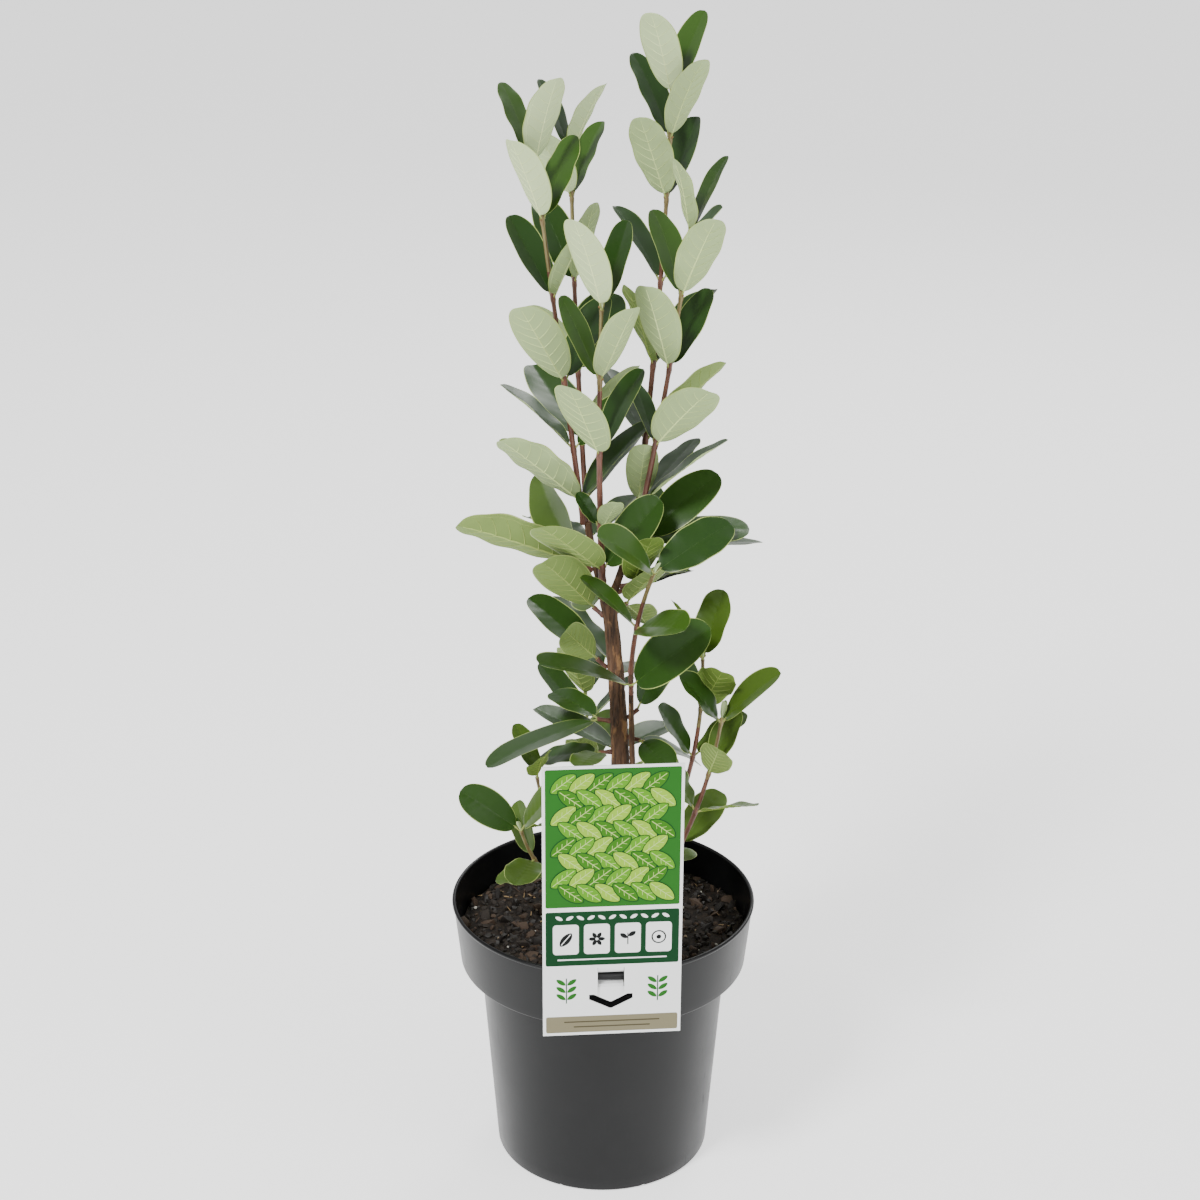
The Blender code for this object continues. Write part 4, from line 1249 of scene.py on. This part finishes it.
def on_label(x, down, layer):
    """A place on the label's front, which hangs a little turned to the left."""
    flat = Vector((x, -LABEL_THICKNESS / 2 - layer * LAYER, LABEL_HEIGHT / 2 - down))
    return LABEL_CENTRE + Matrix.Rotation(LABEL_YAW, 3, "Z") @ flat


class Print(Build):
    """Patches of ink, each with the thickness of its layer. Outlines run in x and down."""

    def patch(self, outline, layer, ink):
        count = len(outline)
        points = [on_label(x, down, level) for level in (layer, -1) for x, down in outline]
        faces = [tuple(range(count)), tuple(range(2 * count - 1, count - 1, -1))]
        faces += [(k, count + k, count + (k + 1) % count, (k + 1) % count) for k in range(count)]
        self.add(points, faces, list(INKS).index(ink))


def turned_by(turn, x, y, places):
    """Flat places turned by an angle and moved to x and y."""
    c, s = math.cos(turn), math.sin(turn)
    return [(x + u * c - v * s, y + u * s + v * c) for u, v in places]


def rounded(left, top, width, height, radius, parts=6):
    right, foot = left + width, top + height
    corners = ((right - radius, top + radius, -90), (right - radius, foot - radius, 0),
               (left + radius, foot - radius, 90), (left + radius, top + radius, 180))
    return [place for x, y, start in corners
            for place in arc((x, y), radius, start, start + 90, parts)]


def oval(x, y, length, width, turn):
    """A pointed oval, like a simple leaf."""
    places = []
    for angle in circle(20):
        across = math.sin(angle) * abs(math.sin(angle)) ** 0.35
        places.append((length / 2 * math.cos(angle), width / 2 * across))
    return turned_by(turn, x, y, places)


def disc(x, y, radius):
    return [polar(radius, angle, x, y) for angle in circle(24)]


def bar(x, y, turn, inner, outer, half):
    """A short bar that points away from a middle."""
    return turned_by(turn, x, y, [(inner, half), (outer, half), (outer, -half), (inner, -half)])


def sprout_icon(ink, x, y):
    ink.patch(bar(x, y + 4.5, -math.pi / 2, 0, 8, 0.35), 4, "black")
    ink.patch(oval(x - 2.6, y - 1.6, 5.4, 3.0, 0.6), 4, "black")
    ink.patch(oval(x + 2.6, y - 2.8, 5.4, 3.0, math.pi - 0.6), 4, "black")


def flower_icon(ink, x, y):
    for k in range(6):
        turn = math.pi * k / 3
        ink.patch(oval(*turned_by(turn, x, y, [(2.9, 0)])[0], 4.4, 2.5, turn), 4 + 0.2 * k, "black")


def ring_icon(ink, x, y):
    for radius, layer, colour in ((4.6, 4, "black"), (3.7, 4.5, "white"), (1.5, 5, "black")):
        ink.patch(disc(x, y, radius), layer, colour)


def leaf_icon(ink, x, y):
    ink.patch(oval(x, y, 11.5, 5.6, -0.9), 4, "black")
    ink.patch(bar(x, y, -0.9, -4.6, 4.6, 0.28), 5, "white")


def sprig(ink, x, y):
    """A small upright twig with three pairs of leaves."""
    ink.patch(bar(x, y, -math.pi / 2, -9, 9, 0.35), 1, "dark green")
    for pair in range(3):
        for side in (-1, 1):
            leaf = oval(x + side * 3.4, y + 4.2 - 5.2 * pair, 7.0, 3.0, -math.pi / 2 + side * 0.95)
            ink.patch(leaf, 1 + 0.1 * pair, "leaf green")


def pattern_leaf(ink, x, y, turn, layer, colour):
    length, width = PATTERN_LEAF
    ink.patch(oval(x, y, length + 1.2, width + 1.2, turn), layer, "dark green")
    ink.patch(oval(x, y, length, width, turn), layer + 0.12, colour)
    ink.patch(bar(x, y, turn, -length * 0.44, length * 0.44, 0.24), layer + 0.24, "pale line")
    for share in (-0.26, -0.06, 0.14):
        start = turned_by(turn, x, y, [(length * share, 0)])[0]
        for lean in (-0.84, 0.84):
            ink.patch(bar(*start, turn + lean, 0.2, width * 0.36, 0.14), layer + 0.24, "pale line")


def leaf_pattern(ink):
    """Rows of plain overlapping leaves in three greens."""
    across, down = PATTERN_STEPS
    for row in range(PATTERN_ROWS):
        for column in range(PATTERN_COLUMNS):
            x = across * (column - (PATTERN_COLUMNS - 1) / 2) + 2.25 * (2 * (row % 2) - 1)
            turn = PATTERN_LEAN if row % 2 else -PATTERN_LEAN
            colour = ("bright green", "yellow green", "mid green")[(column + 2 * row) % 3]
            layer = 2 + 0.6 * row + 0.3 * (column % 2)
            pattern_leaf(ink, x, BORDER + 9.6 + down * row, turn, layer, colour)


def icon_row(ink):
    """A dark block with four plain pictures on white, under a row of small leaves."""
    width, height = ICON_SIZE
    for k in range(11):
        ink.patch(oval(6.6 * (k - 5), 103.4, 5.0, 2.3, 0.5 * (-1) ** k), 2, "white")
    for number, icon in enumerate((leaf_icon, flower_icon, sprout_icon, ring_icon)):
        middle = ICON_STEP * (number - 1.5)
        ink.patch(rounded(middle - width / 2, ICON_TOP, width, height, 2.2), 3, "white")
        icon(ink, middle, ICON_TOP + height / 2)
    ink.patch(rounded(-34, 132.3, 68, 0.9, 0.4), 2, "white")


def make_label():
    ink = Print()
    left, width = -HALF_WIDTH + BORDER, LABEL_WIDTH - 2 * BORDER
    ink.patch(rounded(left, BORDER, width, PATTERN_FOOT - BORDER, 1.2), 1, "leaf green")
    leaf_pattern(ink)
    ink.patch(rounded(left, BLOCK_TOP, width, BLOCK_FOOT - BLOCK_TOP, 1.2), 1, "dark green")
    icon_row(ink)
    for side in (-1, 1):
        sprig(ink, side * 28.5, 155.0)
    ink.patch(rounded(left, STRIP_TOP, width, LABEL_HEIGHT - BORDER - STRIP_TOP, 1.2), 1, "beige")
    for row in range(2):
        ink.patch(rounded(-30 + 6 * row, STRIP_TOP + 3.6 + 3.6 * row, 60 - 12 * row, 0.9, 0.4), 2, "brown")
    finishes = [Finish(f"{name} ink", Base_Color=colour, Roughness=0.6, Specular_IOR_Level=0.12).material
                for name, colour in INKS.items()]
    new_piece("label_print", ink, finishes, 30)
    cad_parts["label"].material_slots[0].material = label_card()


# Floor, light and camera

# Metres and watts. A light has a name, a place, the height it aims at, a size and a power.
FLOOR_SIZE = 30.0
FLOOR_GAP = 0.0002
LIGHTS = (("key", (-1.1, -1.5, 2.4), 0.4, 0.6, 74),
          ("fill", (1.8, -1.2, 1.2), 0.4, 1.4, 16),
          ("rim", (0.7, 1.9, 1.9), 0.5, 1.0, 22))
SKY = 0.6

# Millimetres again. The camera is the photograph's.
CAMERA_PLACE = Vector((-2.9, -1350.0, 937.0))
CAMERA_PITCH = math.radians(21.9)
CAMERA_ROLL = math.radians(0.24)
FOCAL_PIXELS = 2312.0
PHOTO_PIXELS = 1200
SENSOR = 36.0


def make_floor():
    half = FLOOR_SIZE / 2
    mesh = bpy.data.meshes.new("floor")
    edge = [(-half, -half, 0), (half, -half, 0), (half, half, 0), (-half, half, 0)]
    mesh.from_pydata(edge, [], [(0, 1, 2, 3)])
    glow = Finish("pale floor", Base_Color=(0.86, 0.86, 0.86), Roughness=0.8, Specular_IOR_Level=0.1,
                  Emission_Color=(1, 1, 1), Emission_Strength=1.1)
    mesh.materials.append(glow.material)
    floor = link(bpy.data.objects.new("floor", mesh))
    floor.location.z = -FLOOR_GAP


def soft_light(name, place, height, size, power):
    light = bpy.data.lights.new(name, "AREA")
    light.shape = "DISK"
    light.size = size
    light.energy = power
    lamp = link(bpy.data.objects.new(name, light))
    lamp.location = place
    lamp.rotation_euler = (Vector((0, 0, height)) - Vector(place)).to_track_quat("-Z", "Y").to_euler()


def make_light():
    world = bpy.data.worlds.new("studio")
    bpy.context.scene.world = world
    world.use_nodes = True
    background = world.node_tree.nodes["Background"]
    background.inputs["Color"].default_value = (1, 1, 1, 1)
    background.inputs["Strength"].default_value = SKY
    for light in LIGHTS:
        soft_light(*light)


def make_camera():
    camera = bpy.data.cameras.new("camera")
    camera.sensor_width = SENSOR
    camera.sensor_fit = "HORIZONTAL"
    camera.lens = FOCAL_PIXELS / PHOTO_PIXELS * SENSOR
    eye = link(bpy.data.objects.new("camera", camera))
    pitch = Matrix.Rotation(math.pi / 2 - CAMERA_PITCH, 4, "X")
    eye.matrix_world = Matrix.Translation(CAMERA_PLACE * MM) @ pitch @ Matrix.Rotation(CAMERA_ROLL, 4, "Z")
    bpy.context.scene.camera = eye


def corners(box):
    return [list(corner) for corner in box]


make_camera()
make_light()
make_floor()
plant = grow_plant()
make_foliage(plant)
make_stems(plant)
make_trunk_and_boughs()
make_pot()
make_mix()
make_label()
bpy.context.view_layer.update()
